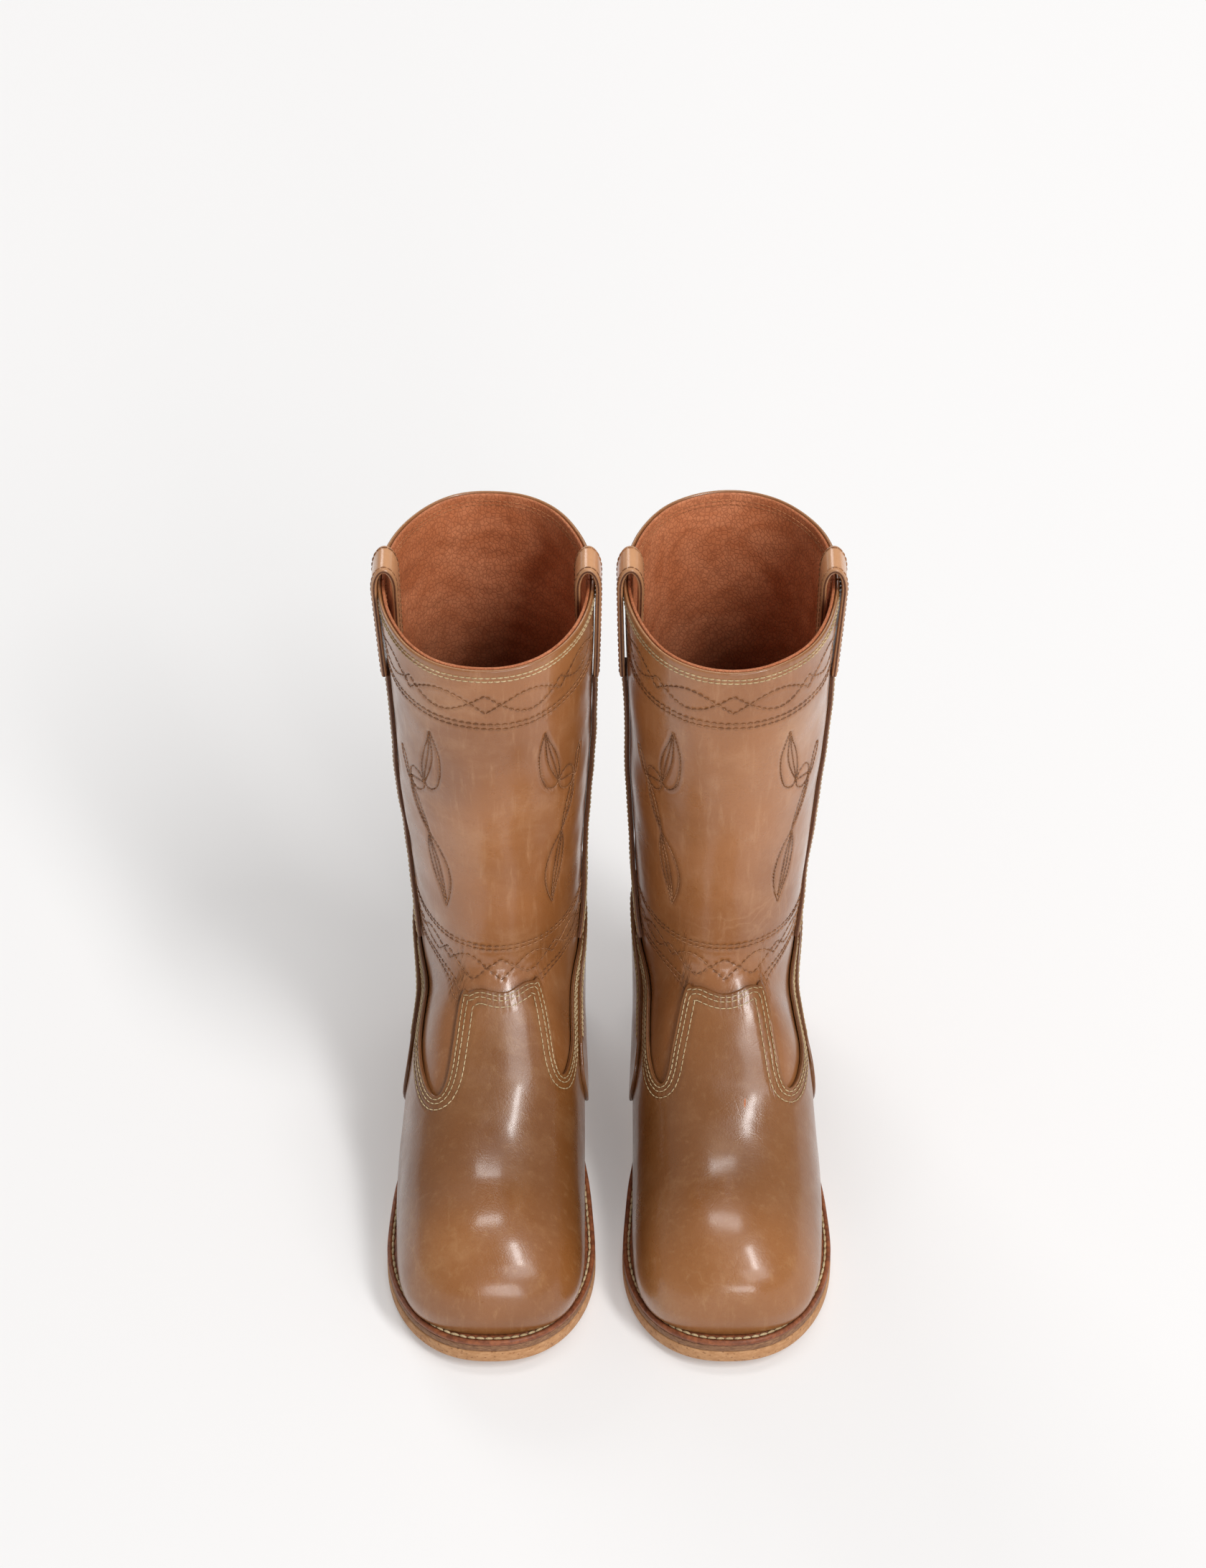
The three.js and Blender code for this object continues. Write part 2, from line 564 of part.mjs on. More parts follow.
// A layer of the sole: the outline drawn in by an inset, between two heights over the
// underside. It is rounded off where it runs to the end of the outline.
const ROUNDING = [0.4, 1.6, 4.5];
function soleLayer(inset, low, high, from = inset, to = SOLE_LENGTH - inset) {
  const first = from === inset ? from + ROUNDING[0] : from;
  const last = to === SOLE_LENGTH - inset ? to - ROUNDING[0] : to;
  const extra = ROUNDING.slice(1).flatMap((r) => [
    ...(first === from ? [] : [from + r]),
    ...(last === to ? [] : [to - r]),
  ]);
  const sections = stationsBetween(first, last, extra).map((s) => {
    const half = outlineHalfWidth(s, inset);
    const x = centreLine(s);
    const base = solePlane(s);
    return [
      [x - half, s, base + low(s)], [x + half, s, base + low(s)],
      [x + half, s, base + high(s)], [x - half, s, base + high(s)],
    ];
  });
  return loftGeometry(sections);
}

const midsoleBase = OUTSOLE_THICKNESS + GAP;
const weltBase = midsoleBase + MIDSOLE_THICKNESS + GAP;
const INSIDE_INSET = 16.5;        // from the sole's edge in to the edge of the insole

// Point of the outline at an angle round it, for pieces that follow the edge.
function edgePoint(turn, inset, z) {
  const middle = SOLE_LENGTH / 2;
  let low = 0;
  let high = 1.4;
  for (let i = 0; i < 30; i += 1) {
    const m = (low + high) / 2;
    const s = middle - middle * Math.cos(turn) * m;
    const x = SOLE_HALF_WIDTH * Math.sin(turn) * m;
    const past = s < inset || s > SOLE_LENGTH - inset;
    if (!past && Math.abs(x) < outlineHalfWidth(s, inset)) low = m;
    else high = m;
  }
  const s = middle - middle * Math.cos(turn) * low;
  return [centreLine(s) + SOLE_HALF_WIDTH * Math.sin(turn) * low, s, solePlane(s) + z];
}

function welt() {
  const whole = soleLayer(0, fixed(weltBase), fixed(weltBase + WELT_THICKNESS));
  const middle = soleLayer(WELT_WIDTH, fixed(weltBase - 5), fixed(weltBase + WELT_THICKNESS + 5));
  return cut(whole, middle);
}

// Heavy thread laid round the forepart, where the welt stands out past the upper.
function weltThread() {
  const height = weltBase + WELT_THICKNESS + GAP + THREAD_RADIUS;
  const points = [];
  const count = 36;
  for (let i = 0; i <= count; i += 1) {
    const turn = mix(0.58 * Math.PI, 1.42 * Math.PI, i / count);
    points.push(new THREE.Vector3(...place(edgePoint(turn, THREAD_INSET, height))));
  }
  const path = new THREE.CatmullRomCurve3(points);
  const sides = [...Array(6).keys()].map((k) => (k * Math.PI) / 3);
  const section = new THREE.Shape(sides.map((turn) => (
    new THREE.Vector2(THREAD_RADIUS * Math.cos(turn), THREAD_RADIUS * Math.sin(turn))
  )));
  return new THREE.ExtrudeGeometry(section, { steps: 34, extrudePath: path, bevelEnabled: false });
}

const insideBase = SOLE_THICKNESS + GAP;
function insoleBoard() {
  return soleLayer(INSIDE_INSET, fixed(insideBase), fixed(insideBase + INSOLE_THICKNESS));
}
function sockLiner() {
  const low = insideBase + INSOLE_THICKNESS + GAP;
  return soleLayer(INSIDE_INSET, fixed(low), fixed(low + SOCK_THICKNESS));
}
function corkFiller() {
  const inset = WELT_WIDTH + 1;
  const from = SHANK.toeEnd + 3;
  return soleLayer(inset, fixed(weltBase), fixed(weltBase + WELT_THICKNESS), from);
}
function shank() {
  const half = SHANK.width / 2;
  const sections = stationsBetween(SHANK.heelEnd, SHANK.toeEnd).map((s) => {
    const top = solePlane(s) + SOLE_THICKNESS;
    const x = centreLine(s);
    return [
      [x - half, s, top - SHANK.thickness], [x + half, s, top - SHANK.thickness],
      [x + half, s, top], [x - half, s, top],
    ];
  });
  return loftGeometry(sections);
}

// ---- heel ----------------------------------------------------------------------------
const topPieceTop = HEEL.topPiece;
const liftBase = (k) => topPieceTop + GAP + k * (HEEL.lift + GAP);
const nailSpots = [[-18, 22], [18, 22], [-18, 48], [18, 48]];

// Outline of the heel block, drawn in as it goes down.
function heelOutline(inset) {
  const points = [];
  const count = 16;
  const back = inset;
  for (let i = 0; i <= count; i += 1) {
    const turn = (Math.PI * i) / count;
    const s = HEEL.breast - inset - (HEEL.breast - inset - back) * Math.sin(turn);
    const side = i <= count / 2 ? 1 : -1;
    points.push([centreLine(s) + side * outlineHalfWidth(s, inset), s]);
  }
  points[count / 2][0] = centreLine(back);
  return points;
}
function heelPlate(inset, base, thickness, holeRadius) {
  const outline = heelOutline(inset);
  const toPlan = ([x, s]) => new THREE.Vector2(x, SOLE_LENGTH / 2 - s);
  const shape = new THREE.Shape(outline.map(toPlan));
  for (const [x, s] of nailSpots) {
    const hole = new THREE.Path();
    const spot = toPlan([x + centreLine(s), s]);
    hole.absarc(spot.x, spot.y, holeRadius, 0, 2 * Math.PI, true);
    shape.holes.push(hole);
  }
  const geometry = new THREE.ExtrudeGeometry(shape, {
    depth: thickness, curveSegments: 4, bevelEnabled: false,
  });
  geometry.translate(0, 0, base);
  return geometry;
}
function heelWedge() {
  const base = liftBase(2);
  return soleLayer(1, (s) => base - solePlane(s), fixed(-GAP), 1, HEEL.breast - 1);
}
function heelNail([x, s]) {
  const base = topPieceTop - NAIL.headHeight;
  const tip = liftBase(1) + HEEL.lift;
  const profile = [
    [0, base], [NAIL.headRadius, base], [NAIL.headRadius, base + NAIL.headHeight],
    [NAIL.radius, base + NAIL.headHeight], [NAIL.radius, tip - 3], [0, tip],
  ];
  const geometry = new THREE.LatheGeometry(profile.map((p) => new THREE.Vector2(...p)), 8);
  geometry.rotateX(Math.PI / 2);
  geometry.translate(x + centreLine(s), SOLE_LENGTH / 2 - s, 0);
  return geometry;
}

// ---- materials -------------------------------------------------------------------------
const finish = (color, roughness, metalness = 0) => (
  new THREE.MeshStandardMaterial({ color, roughness, metalness })
);
const leather = finish('#a5734b', 0.38);
const edgeLeather = finish('#9c6a42', 0.5);
const liningLeather = finish('#af6946', 0.6);
const weltLeather = finish('#7a4a30', 0.45);
const midsoleLeather = finish('#a08060', 0.6);
const crepe = finish('#b98d5c', 0.7);
const heelLeather = finish('#8a5a38', 0.5);
const heelRubber = finish('#5d4632', 0.8);
const board = finish('#c9a57c', 0.8);
const cork = finish('#9c7850', 0.9);
const fibreboard = finish('#b59e80', 0.85);
const steel = finish('#8d9196', 0.35, 1);
const thread = finish('#c8b48c', 0.7);

// ---- one boot ---------------------------------------------------------------------------
function boot(prefix) {
  const group = new THREE.Group();
  const add = (name, geometry, material) => {
    const mesh = new THREE.Mesh(geometry, material);
    mesh.name = `${prefix}_${name}`;
    group.add(mesh);
  };
  const outsoleTop = OUTSOLE_THICKNESS;
  const midsoleTop = midsoleBase + MIDSOLE_THICKNESS;
  add('outsole', soleLayer(0, fixed(0), fixed(outsoleTop)), crepe);
  add('midsole', soleLayer(0.4, fixed(midsoleBase), fixed(midsoleTop)), midsoleLeather);
  add('welt', welt(), weltLeather);
  add('welt_thread', weltThread(), thread);
  add('insole_board', insoleBoard(), board);
  add('sock_liner', sockLiner(), liningLeather);
  add('cork_filler', corkFiller(), cork);
  add('shank', shank(), steel);
  add('shaft_front', shaftFrontPanel(), leather);
  add('shaft_back', shaftBackPanel(), leather);
  add('shaft_lining_front', frontLining(), liningLeather);
  add('shaft_lining_back', backLining(), liningLeather);
  add('vamp', vampPanel(), leather);
  add('vamp_lining', vampLining(), liningLeather);
  add('toe_puff', toePuff(), fibreboard);
  add('counter', counterPanel(), leather);
  add('counter_stiffener', counterStiffener(), fibreboard);
  for (const [name, side] of [['medial', 90], ['lateral', -90]]) {
    add(`side_strip_${name}`, seamStripGeometry(side), edgeLeather);
    add(`pull_strap_${name}`, pullStrap(side), edgeLeather);
  }
  const throughHole = NAIL.radius + NAIL.clearance;
  const headHole = NAIL.headRadius + NAIL.clearance;
  const inset = (k) => 1 + (HEEL.taper * (2 - k)) / 2;
  add('heel_top_piece', heelPlate(HEEL.taper + 1, 0, HEEL.topPiece, headHole), heelRubber);
  add('heel_lift_1', heelPlate(inset(0.5), liftBase(0), HEEL.lift, throughHole), heelLeather);
  add('heel_lift_2', heelPlate(inset(1.2), liftBase(1), HEEL.lift, throughHole), heelLeather);
  add('heel_lift_3', heelWedge(), heelLeather);
  nailSpots.forEach((spot, i) => add(`heel_nail_${i + 1}`, heelNail(spot), steel));
  return group;
}

const group = new THREE.Group();
const rightBoot = boot('right');
rightBoot.position.x = -SPACING / 2;
const leftBoot = boot('left');
leftBoot.position.x = SPACING / 2;
leftBoot.scale.x = -1;
group.add(rightBoot, leftBoot);

export default group;
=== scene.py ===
"""A pair of tan leather western boots: the looks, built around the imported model.

Shapes are worked out in millimetres in boot coordinates: x across, towards the other
boot, s along the sole from heel to toe, z up. They are placed in metres at the end.
"""
import math

import bmesh
import bpy
import numpy as np
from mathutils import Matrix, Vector
from mathutils.kdtree import KDTree


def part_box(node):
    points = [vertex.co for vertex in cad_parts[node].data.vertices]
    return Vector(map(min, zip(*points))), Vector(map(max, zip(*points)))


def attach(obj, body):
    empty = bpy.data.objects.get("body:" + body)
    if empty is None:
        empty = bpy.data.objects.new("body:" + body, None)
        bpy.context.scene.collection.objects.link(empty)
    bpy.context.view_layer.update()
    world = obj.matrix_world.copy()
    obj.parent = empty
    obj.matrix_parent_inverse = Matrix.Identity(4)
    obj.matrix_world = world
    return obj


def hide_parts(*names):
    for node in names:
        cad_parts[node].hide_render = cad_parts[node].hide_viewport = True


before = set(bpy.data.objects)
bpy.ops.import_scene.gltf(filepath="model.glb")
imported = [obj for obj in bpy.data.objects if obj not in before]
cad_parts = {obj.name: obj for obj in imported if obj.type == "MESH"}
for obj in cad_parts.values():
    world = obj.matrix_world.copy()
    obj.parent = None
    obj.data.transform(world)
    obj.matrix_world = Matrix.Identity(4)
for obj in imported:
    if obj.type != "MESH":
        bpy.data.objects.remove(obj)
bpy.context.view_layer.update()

# ---- driving dimensions, from the frame and as in the design
MM = 0.001


def extent(node, axis):
    low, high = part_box(node)
    return (high[axis] - low[axis]) / MM


def middle(node, axis):
    low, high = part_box(node)
    return (high[axis] + low[axis]) / 2 / MM


BOOT_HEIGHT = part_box("right_shaft_front")[1].z / MM
SOLE_LENGTH = extent("right_outsole", 1) + 0.8
SPACING = middle("left_outsole", 0) - middle("right_outsole", 0)
SOLE_HALF_WIDTH = 52.0
WAIST_HALF_WIDTH = 37.0
SEAT_HALF_WIDTH = 39.0
HEEL_HEIGHT = 42.0
TOE_SPRING = 6.0
INSTEP_HEIGHT = 99.0
TOE_BOX_HEIGHT = 44.0
SHAFT_TOP_DEPTH = 132.0
SHAFT_TOP_HALF_WIDTH = 51.5
ANKLE_HALF_WIDTH = 40.5
FOOT_HALF_WIDTH = 46.0
HEEL_HALF_WIDTH = 33.0
OUTSOLE = 7.5
MIDSOLE = 3.9
WELT = 3.0
INSOLE = 2.8
SOCK = 1.5
GAP = 0.3
LEATHER = 1.8
LINING = 1.5
SOLE_THICKNESS = OUTSOLE + MIDSOLE + WELT + 2 * GAP
SEAT_HEIGHT = HEEL_HEIGHT + SOLE_THICKNESS
UPPER_START = 0.6
STRIP_HALF_WIDTH = 7.0
STRIP_TURN = 7.5
STRIP_THICKNESS = 2.2
STRIP_HEIGHTS = (110.0, 283.0)
STRAP_WIDTH = 18.0
STRAP_THICKNESS = 2.6
HEEL_BREAST = 62.0


# ---- smooth curves
def curve(points):
    """A smooth curve through (position, value) points, for arrays."""
    xs, ys = np.array(points, float).T
    slope = np.diff(ys) / np.diff(xs)
    gap = np.diff(xs)
    tangent = np.empty(len(xs))
    tangent[0], tangent[-1] = slope[0], slope[-1]
    tangent[1:-1] = (slope[:-1] * gap[1:] + slope[1:] * gap[:-1]) / (gap[1:] + gap[:-1])

    def value(position):
        x = np.clip(np.asarray(position, float), xs[0], xs[-1])
        i = np.clip(np.searchsorted(xs, x, side="right") - 1, 0, len(xs) - 2)
        t = (x - xs[i]) / gap[i]
        t2, t3 = t * t, t * t * t
        return ((2 * t3 - 3 * t2 + 1) * ys[i] + (t3 - 2 * t2 + t) * gap[i] * tangent[i]
                + (3 * t2 - 2 * t3) * ys[i + 1] + (t3 - t2) * gap[i] * tangent[i + 1])

    return value


def mix(a, b, t):
    return a + (b - a) * t


def unit(vectors, least=0.0):
    """Vectors made one long, or nearly so where they are hardly longer than least."""
    return vectors / (np.linalg.norm(vectors, axis=-1, keepdims=True) + least)


def run_along(points):
    """The distance run at each point of a line."""
    return np.concatenate([[0], np.cumsum(np.linalg.norm(np.diff(points, axis=0), axis=1))])


def search_tree(points):
    """A tree that finds the nearest of some points."""
    tree = KDTree(len(points))
    for i, point in enumerate(points):
        tree.insert(point, i)
    tree.balance()
    return tree


def smooth(t):
    """Eases a fraction in and out."""
    return t * t * (3 - 2 * t)


def along(fraction):
    return fraction * SOLE_LENGTH


def up_shaft(fraction):
    return mix(SEAT_HEIGHT, BOOT_HEIGHT, fraction)


def along_curve(*points):
    """A curve over the sole's length, from (fraction, value) points."""
    return curve([(along(fraction), value) for fraction, value in points])


def up_curve(*points):
    """A curve over the shaft's height, from (fraction, value) points."""
    return curve([(up_shaft(fraction), value) for fraction, value in points])


def foot_width(fraction):
    return mix(HEEL_HALF_WIDTH, FOOT_HALF_WIDTH, fraction)


def foot_rise(fraction):
    return mix(TOE_BOX_HEIGHT, INSTEP_HEIGHT, fraction)


def shaft_width(fraction):
    return mix(ANKLE_HALF_WIDTH, SHAFT_TOP_HALF_WIDTH, fraction)


# ---- shape of the sole
sole_profile = along_curve(
    (0, HEEL_HEIGHT), (0.14, HEEL_HEIGHT * 0.93), (0.25, HEEL_HEIGHT * 0.83),
    (0.36, HEEL_HEIGHT * 0.62), (0.47, HEEL_HEIGHT * 0.29), (0.575, HEEL_HEIGHT * 0.06),
    (0.665, 0), (0.775, 0), (0.9, TOE_SPRING / 3), (1, TOE_SPRING))
sole_half_width = along_curve(
    (0, SEAT_HALF_WIDTH - 3), (0.07, SEAT_HALF_WIDTH - 1), (0.16, SEAT_HALF_WIDTH),
    (0.27, mix(SEAT_HALF_WIDTH, WAIST_HALF_WIDTH, 0.6)), (0.38, WAIST_HALF_WIDTH),
    (0.5, mix(WAIST_HALF_WIDTH, SOLE_HALF_WIDTH, 0.4)),
    (0.61, mix(WAIST_HALF_WIDTH, SOLE_HALF_WIDTH, 0.84)), (0.7, SOLE_HALF_WIDTH),
    (1, SOLE_HALF_WIDTH))
centre_line = along_curve((0, 3), (0.22, 3.5), (0.4, 2.5), (0.54, 0), (1, 0))


def sole_under(s):
    return np.maximum(sole_profile(s), 0)


def outline_half_width(s, inset):
    toe_start, heel_start = SOLE_LENGTH - 72, 32
    toe = np.clip((s - toe_start) / (SOLE_LENGTH - inset - toe_start), 0, None) ** 2.1
    heel = np.clip((heel_start - s) / (heel_start - inset), 0, None) ** 2.2
    return (sole_half_width(s) - inset) * np.clip(1 - toe - heel, 0, None) ** (1 / 2.35)


# ---- shape of the upper
foot_half_width = along_curve(
    (0, HEEL_HALF_WIDTH - 1.5), (0.07, HEEL_HALF_WIDTH), (0.16, foot_width(0.2)),
    (0.27, foot_width(0.4)), (0.38, foot_width(0.58)), (0.5, foot_width(0.82)),
    (0.61, FOOT_HALF_WIDTH - 0.5), (0.7, FOOT_HALF_WIDTH), (0.98, FOOT_HALF_WIDTH - 1))
foot_height = along_curve(
    (0, INSTEP_HEIGHT * 0.72), (0.4, INSTEP_HEIGHT * 0.95), (0.5, INSTEP_HEIGHT),
    (0.56, INSTEP_HEIGHT * 0.9), (0.62, foot_rise(0.55)), (0.69, foot_rise(0.33)),
    (0.76, foot_rise(0.19)), (0.84, foot_rise(0.115)), (0.975, TOE_BOX_HEIGHT))
TOE_END = SOLE_LENGTH - 8
HEEL_END = 6
RIM_BACK = 5
RIM_FRONT = RIM_BACK + SHAFT_TOP_DEPTH
TYPICAL_RADIUS = 45


def foot_field(x, s, z):
    """Rough distance outside the foot of the boot, less than 0 inside it."""
    above = np.clip(z - sole_under(s) - SOLE_THICKNESS, 0, None)
    width = foot_half_width(s) * (1 - 0.08 * np.exp(-above / 6))
    toe_start, heel_start = TOE_END - 62, 40
    toe_reach = TOE_END - toe_start + 1.5 * np.clip(above / 12, 0, 1)
    heel_reach = heel_start - HEEL_END + 1.5 * np.clip(above / 20, 0, 1)
    toe = np.clip((s - toe_start) / toe_reach, 0, None)
    heel = np.clip((heel_start - s) / heel_reach, 0, None)
    total = (np.abs((x - centre_line(s)) / width) ** 2.35
             + (above / foot_height(s)) ** 2.3 + toe ** 4.0 + heel ** 2.3)
    return (total ** (1 / 2.3) - 1) * TYPICAL_RADIUS


shaft_half_width = up_curve(
    (0, ANKLE_HALF_WIDTH - 5), (0.19, ANKLE_HALF_WIDTH), (0.33, shaft_width(0.18)),
    (0.47, shaft_width(0.36)), (0.65, shaft_width(0.6)), (0.865, SHAFT_TOP_HALF_WIDTH - 1.5),
    (1, SHAFT_TOP_HALF_WIDTH))
shaft_front = up_curve(
    (0, RIM_FRONT - 19), (0.19, RIM_FRONT - 13), (0.33, RIM_FRONT - 9), (0.47, RIM_FRONT - 8),
    (0.65, RIM_FRONT - 4.5), (0.865, RIM_FRONT - 1), (1, RIM_FRONT))
shaft_back = up_curve(
    (0, RIM_BACK + 5), (0.08, RIM_BACK + 4), (0.19, RIM_BACK + 5), (0.33, RIM_BACK + 8),
    (0.47, RIM_BACK + 9.5), (0.65, RIM_BACK + 8.5), (0.865, RIM_BACK + 3), (1, RIM_BACK))
shaft_centre = up_curve((0, 3.5), (0.19, 3), (0.5, 2), (0.8, 1), (1, 0))


def shaft_field(x, s, z):
    """Rough distance outside the shaft, less than 0 inside it."""
    front, back = shaft_front(z), shaft_back(z)
    across = np.abs((x - shaft_centre(z)) / shaft_half_width(z)) ** 2.1
    deep = np.abs((s - (front + back) / 2) / ((front - back) / 2)) ** 2.1
    return ((across + deep) ** (1 / 2.1) - 1) * TYPICAL_RADIUS


BLEND = 9


def upper_field(x, s, z):
    foot, shaft = foot_field(x, s, z), shaft_field(x, s, z)
    h = np.clip(0.5 + 0.5 * (shaft - foot) / BLEND, 0, 1)
    return mix(shaft, foot, h) - BLEND * h * (1 - h)


front_along = curve([
    (0, TOE_END), (0.07, TOE_END + 1), (0.14, TOE_END - 6), (0.24, along(0.85)),
    (0.36, along(0.67)), (0.46, RIM_FRONT + 15), (0.56, RIM_FRONT - 4), (0.68, RIM_FRONT - 8),
    (0.84, RIM_FRONT - 3), (1, RIM_FRONT)])
front_height = curve([
    (0, SOLE_THICKNESS + TOE_SPRING), (0.07, SOLE_THICKNESS + 0.57 * TOE_BOX_HEIGHT),
    (0.14, SOLE_THICKNESS + 0.93 * TOE_BOX_HEIGHT),
    (0.24, SOLE_THICKNESS + 1.18 * TOE_BOX_HEIGHT),
    (0.36, SOLE_THICKNESS + 1.52 * TOE_BOX_HEIGHT), (0.46, up_shaft(0.195)),
    (0.56, up_shaft(0.33)), (0.68, up_shaft(0.51)), (0.84, up_shaft(0.765)), (1, BOOT_HEIGHT)])
back_height = curve([
    (0, SEAT_HEIGHT), (0.07, up_shaft(0.025)), (0.14, up_shaft(0.053)), (0.24, up_shaft(0.092)),
    (0.36, up_shaft(0.139)), (0.46, up_shaft(0.196)), (0.56, up_shaft(0.295)),
    (0.68, up_shaft(0.473)), (0.84, up_shaft(0.744)), (1, BOOT_HEIGHT)])
back_along = curve([(0, HEEL_END), (0.5, RIM_BACK + 4), (0.7, RIM_BACK + 9), (1, RIM_BACK)])


def sheet_height(level, s):
    slope = (front_height(level) - back_height(level)) / (front_along(level) - back_along(level))
    flat = back_height(level) + slope * (s - back_along(level))
    welt_slope = (front_height(0) - back_height(0)) / (front_along(0) - back_along(0))
    welt_flat = back_height(0) + welt_slope * (s - back_along(0))
    settle = np.clip(1 - level / 0.3, 0, 1) ** 1.5
    return flat + settle * (sole_under(s) + SOLE_THICKNESS + UPPER_START - welt_flat)


class Skin:
    """The upper's outer face on a fine grid of angles and levels, and points read off it.

    Angles are in degrees round the boot, 0 at the front and 90 on the inner side. Levels
    run from 0 at the welt to 1 at the rim.
    """

    STEP = 0.75
    LEVELS = 320

    def __init__(self, ripple, twist=0.0):
        count = round(360 / self.STEP)
        self.angles = np.linspace(-180, 180, count + 1)
        self.levels = np.linspace(0, 1, self.LEVELS + 1)
        level, angle = np.meshgrid(self.levels, np.radians(self.angles), indexing="ij")
        front, back = front_along(level), back_along(level)
        half, reach = (front + back) / 2, (front - back) / 2
        inside, outside = np.full(level.shape, 0.05), np.full(level.shape, 1.7)
        for _ in range(26):
            m = (inside + outside) / 2
            s = half + reach * np.cos(angle) * m
            hit = upper_field(50 * np.sin(angle) * m, s, sheet_height(level, s)) < 0
            inside, outside = np.where(hit, m, inside), np.where(hit, outside, m)
        s = half + reach * np.cos(angle) * inside
        x = 50 * np.sin(angle) * inside
        z = sheet_height(level, s)
        step = 0.2
        normal = np.stack([
            upper_field(x + step, s, z) - upper_field(x - step, s, z),
            upper_field(x, s + step, z) - upper_field(x, s - step, z),
            upper_field(x, s, z + step) - upper_field(x, s, z - step)], -1)
        normal[..., 2] *= np.clip(level / 0.06, 0, 1)
        normal = unit(normal)
        point = np.stack([x, s, z], -1)
        fade = np.clip(level / 0.1, 0, 1)[..., None]
        self.points = point + normal * ripple(point)[..., None] * fade
        self.normals = normal
        self.tree = None
        self.twist = twist

    def lean(self, height):
        """Degrees by which the seams and stitching have turned towards the inner side."""
        return self.twist * np.clip((300 - height) / 180, 0, 1)

    def read(self, level, angle):
        """Points and normals at arrays of levels and angles."""
        level, angle = np.broadcast_arrays(np.asarray(level, float), np.asarray(angle, float))
        row = np.clip(level, 0, 1) * self.LEVELS
        column = ((angle + 180) % 360) / self.STEP
        i = np.clip(np.floor(row).astype(int), 0, self.LEVELS - 1)
        j = np.clip(np.floor(column).astype(int), 0, len(self.angles) - 2)
        u, v = (row - i)[..., None], (column - j)[..., None]
        found = []
        for grid in (self.points, self.normals):
            low = grid[i, j] * (1 - v) + grid[i, j + 1] * v
            high = grid[i + 1, j] * (1 - v) + grid[i + 1, j + 1] * v
            found.append(low * (1 - u) + high * u)
        return found[0], unit(found[1])

    def at(self, level, angle, out=0.0):
        point, normal = self.read(level, angle)
        return point + normal * np.asarray(out, float)[..., None]

    def level_at(self, height, angle):
        """Level at which the skin is at a height, for arrays of heights and angles."""
        column = np.round(((np.asarray(angle) + 180) % 360) / self.STEP).astype(int)
        heights = np.broadcast_to(height, column.shape)
        flat = [np.interp(h, self.points[:, j, 2], self.levels)
                for h, j in zip(heights.ravel(), column.ravel())]
        return np.array(flat).reshape(column.shape)

    def settle(self, points, out):
        """Points near the skin, moved onto it and out by a distance, with normals."""
        flat = self.points.reshape(-1, 3)
        if self.tree is None:
            self.tree = search_tree(flat)
        nearest = np.array([self.tree.find(point)[1] for point in points])
        normal = self.normals.reshape(-1, 3)[nearest]
        depth = np.sum((flat[nearest] - points) * normal, axis=1)
        return points + normal * (depth + out)[:, None], normal


def ripples(seed, scales=((95, 0.26), (60, 0.2), (38, 0.1), (24, 0.05))):
    """Soft unevenness of hand-lasted leather, as a function of place."""
    random = np.random.default_rng(seed)
    waves = []
    for length, height in scales:
        for _ in range(3):
            direction = random.normal(size=3)
            direction *= 2 * math.pi / length / np.linalg.norm(direction)
            waves.append((direction, random.uniform(0, 2 * math.pi), height))

    def value(points):
        return sum(h * np.sin(points @ d + phase) for d, phase, h in waves)

    return value


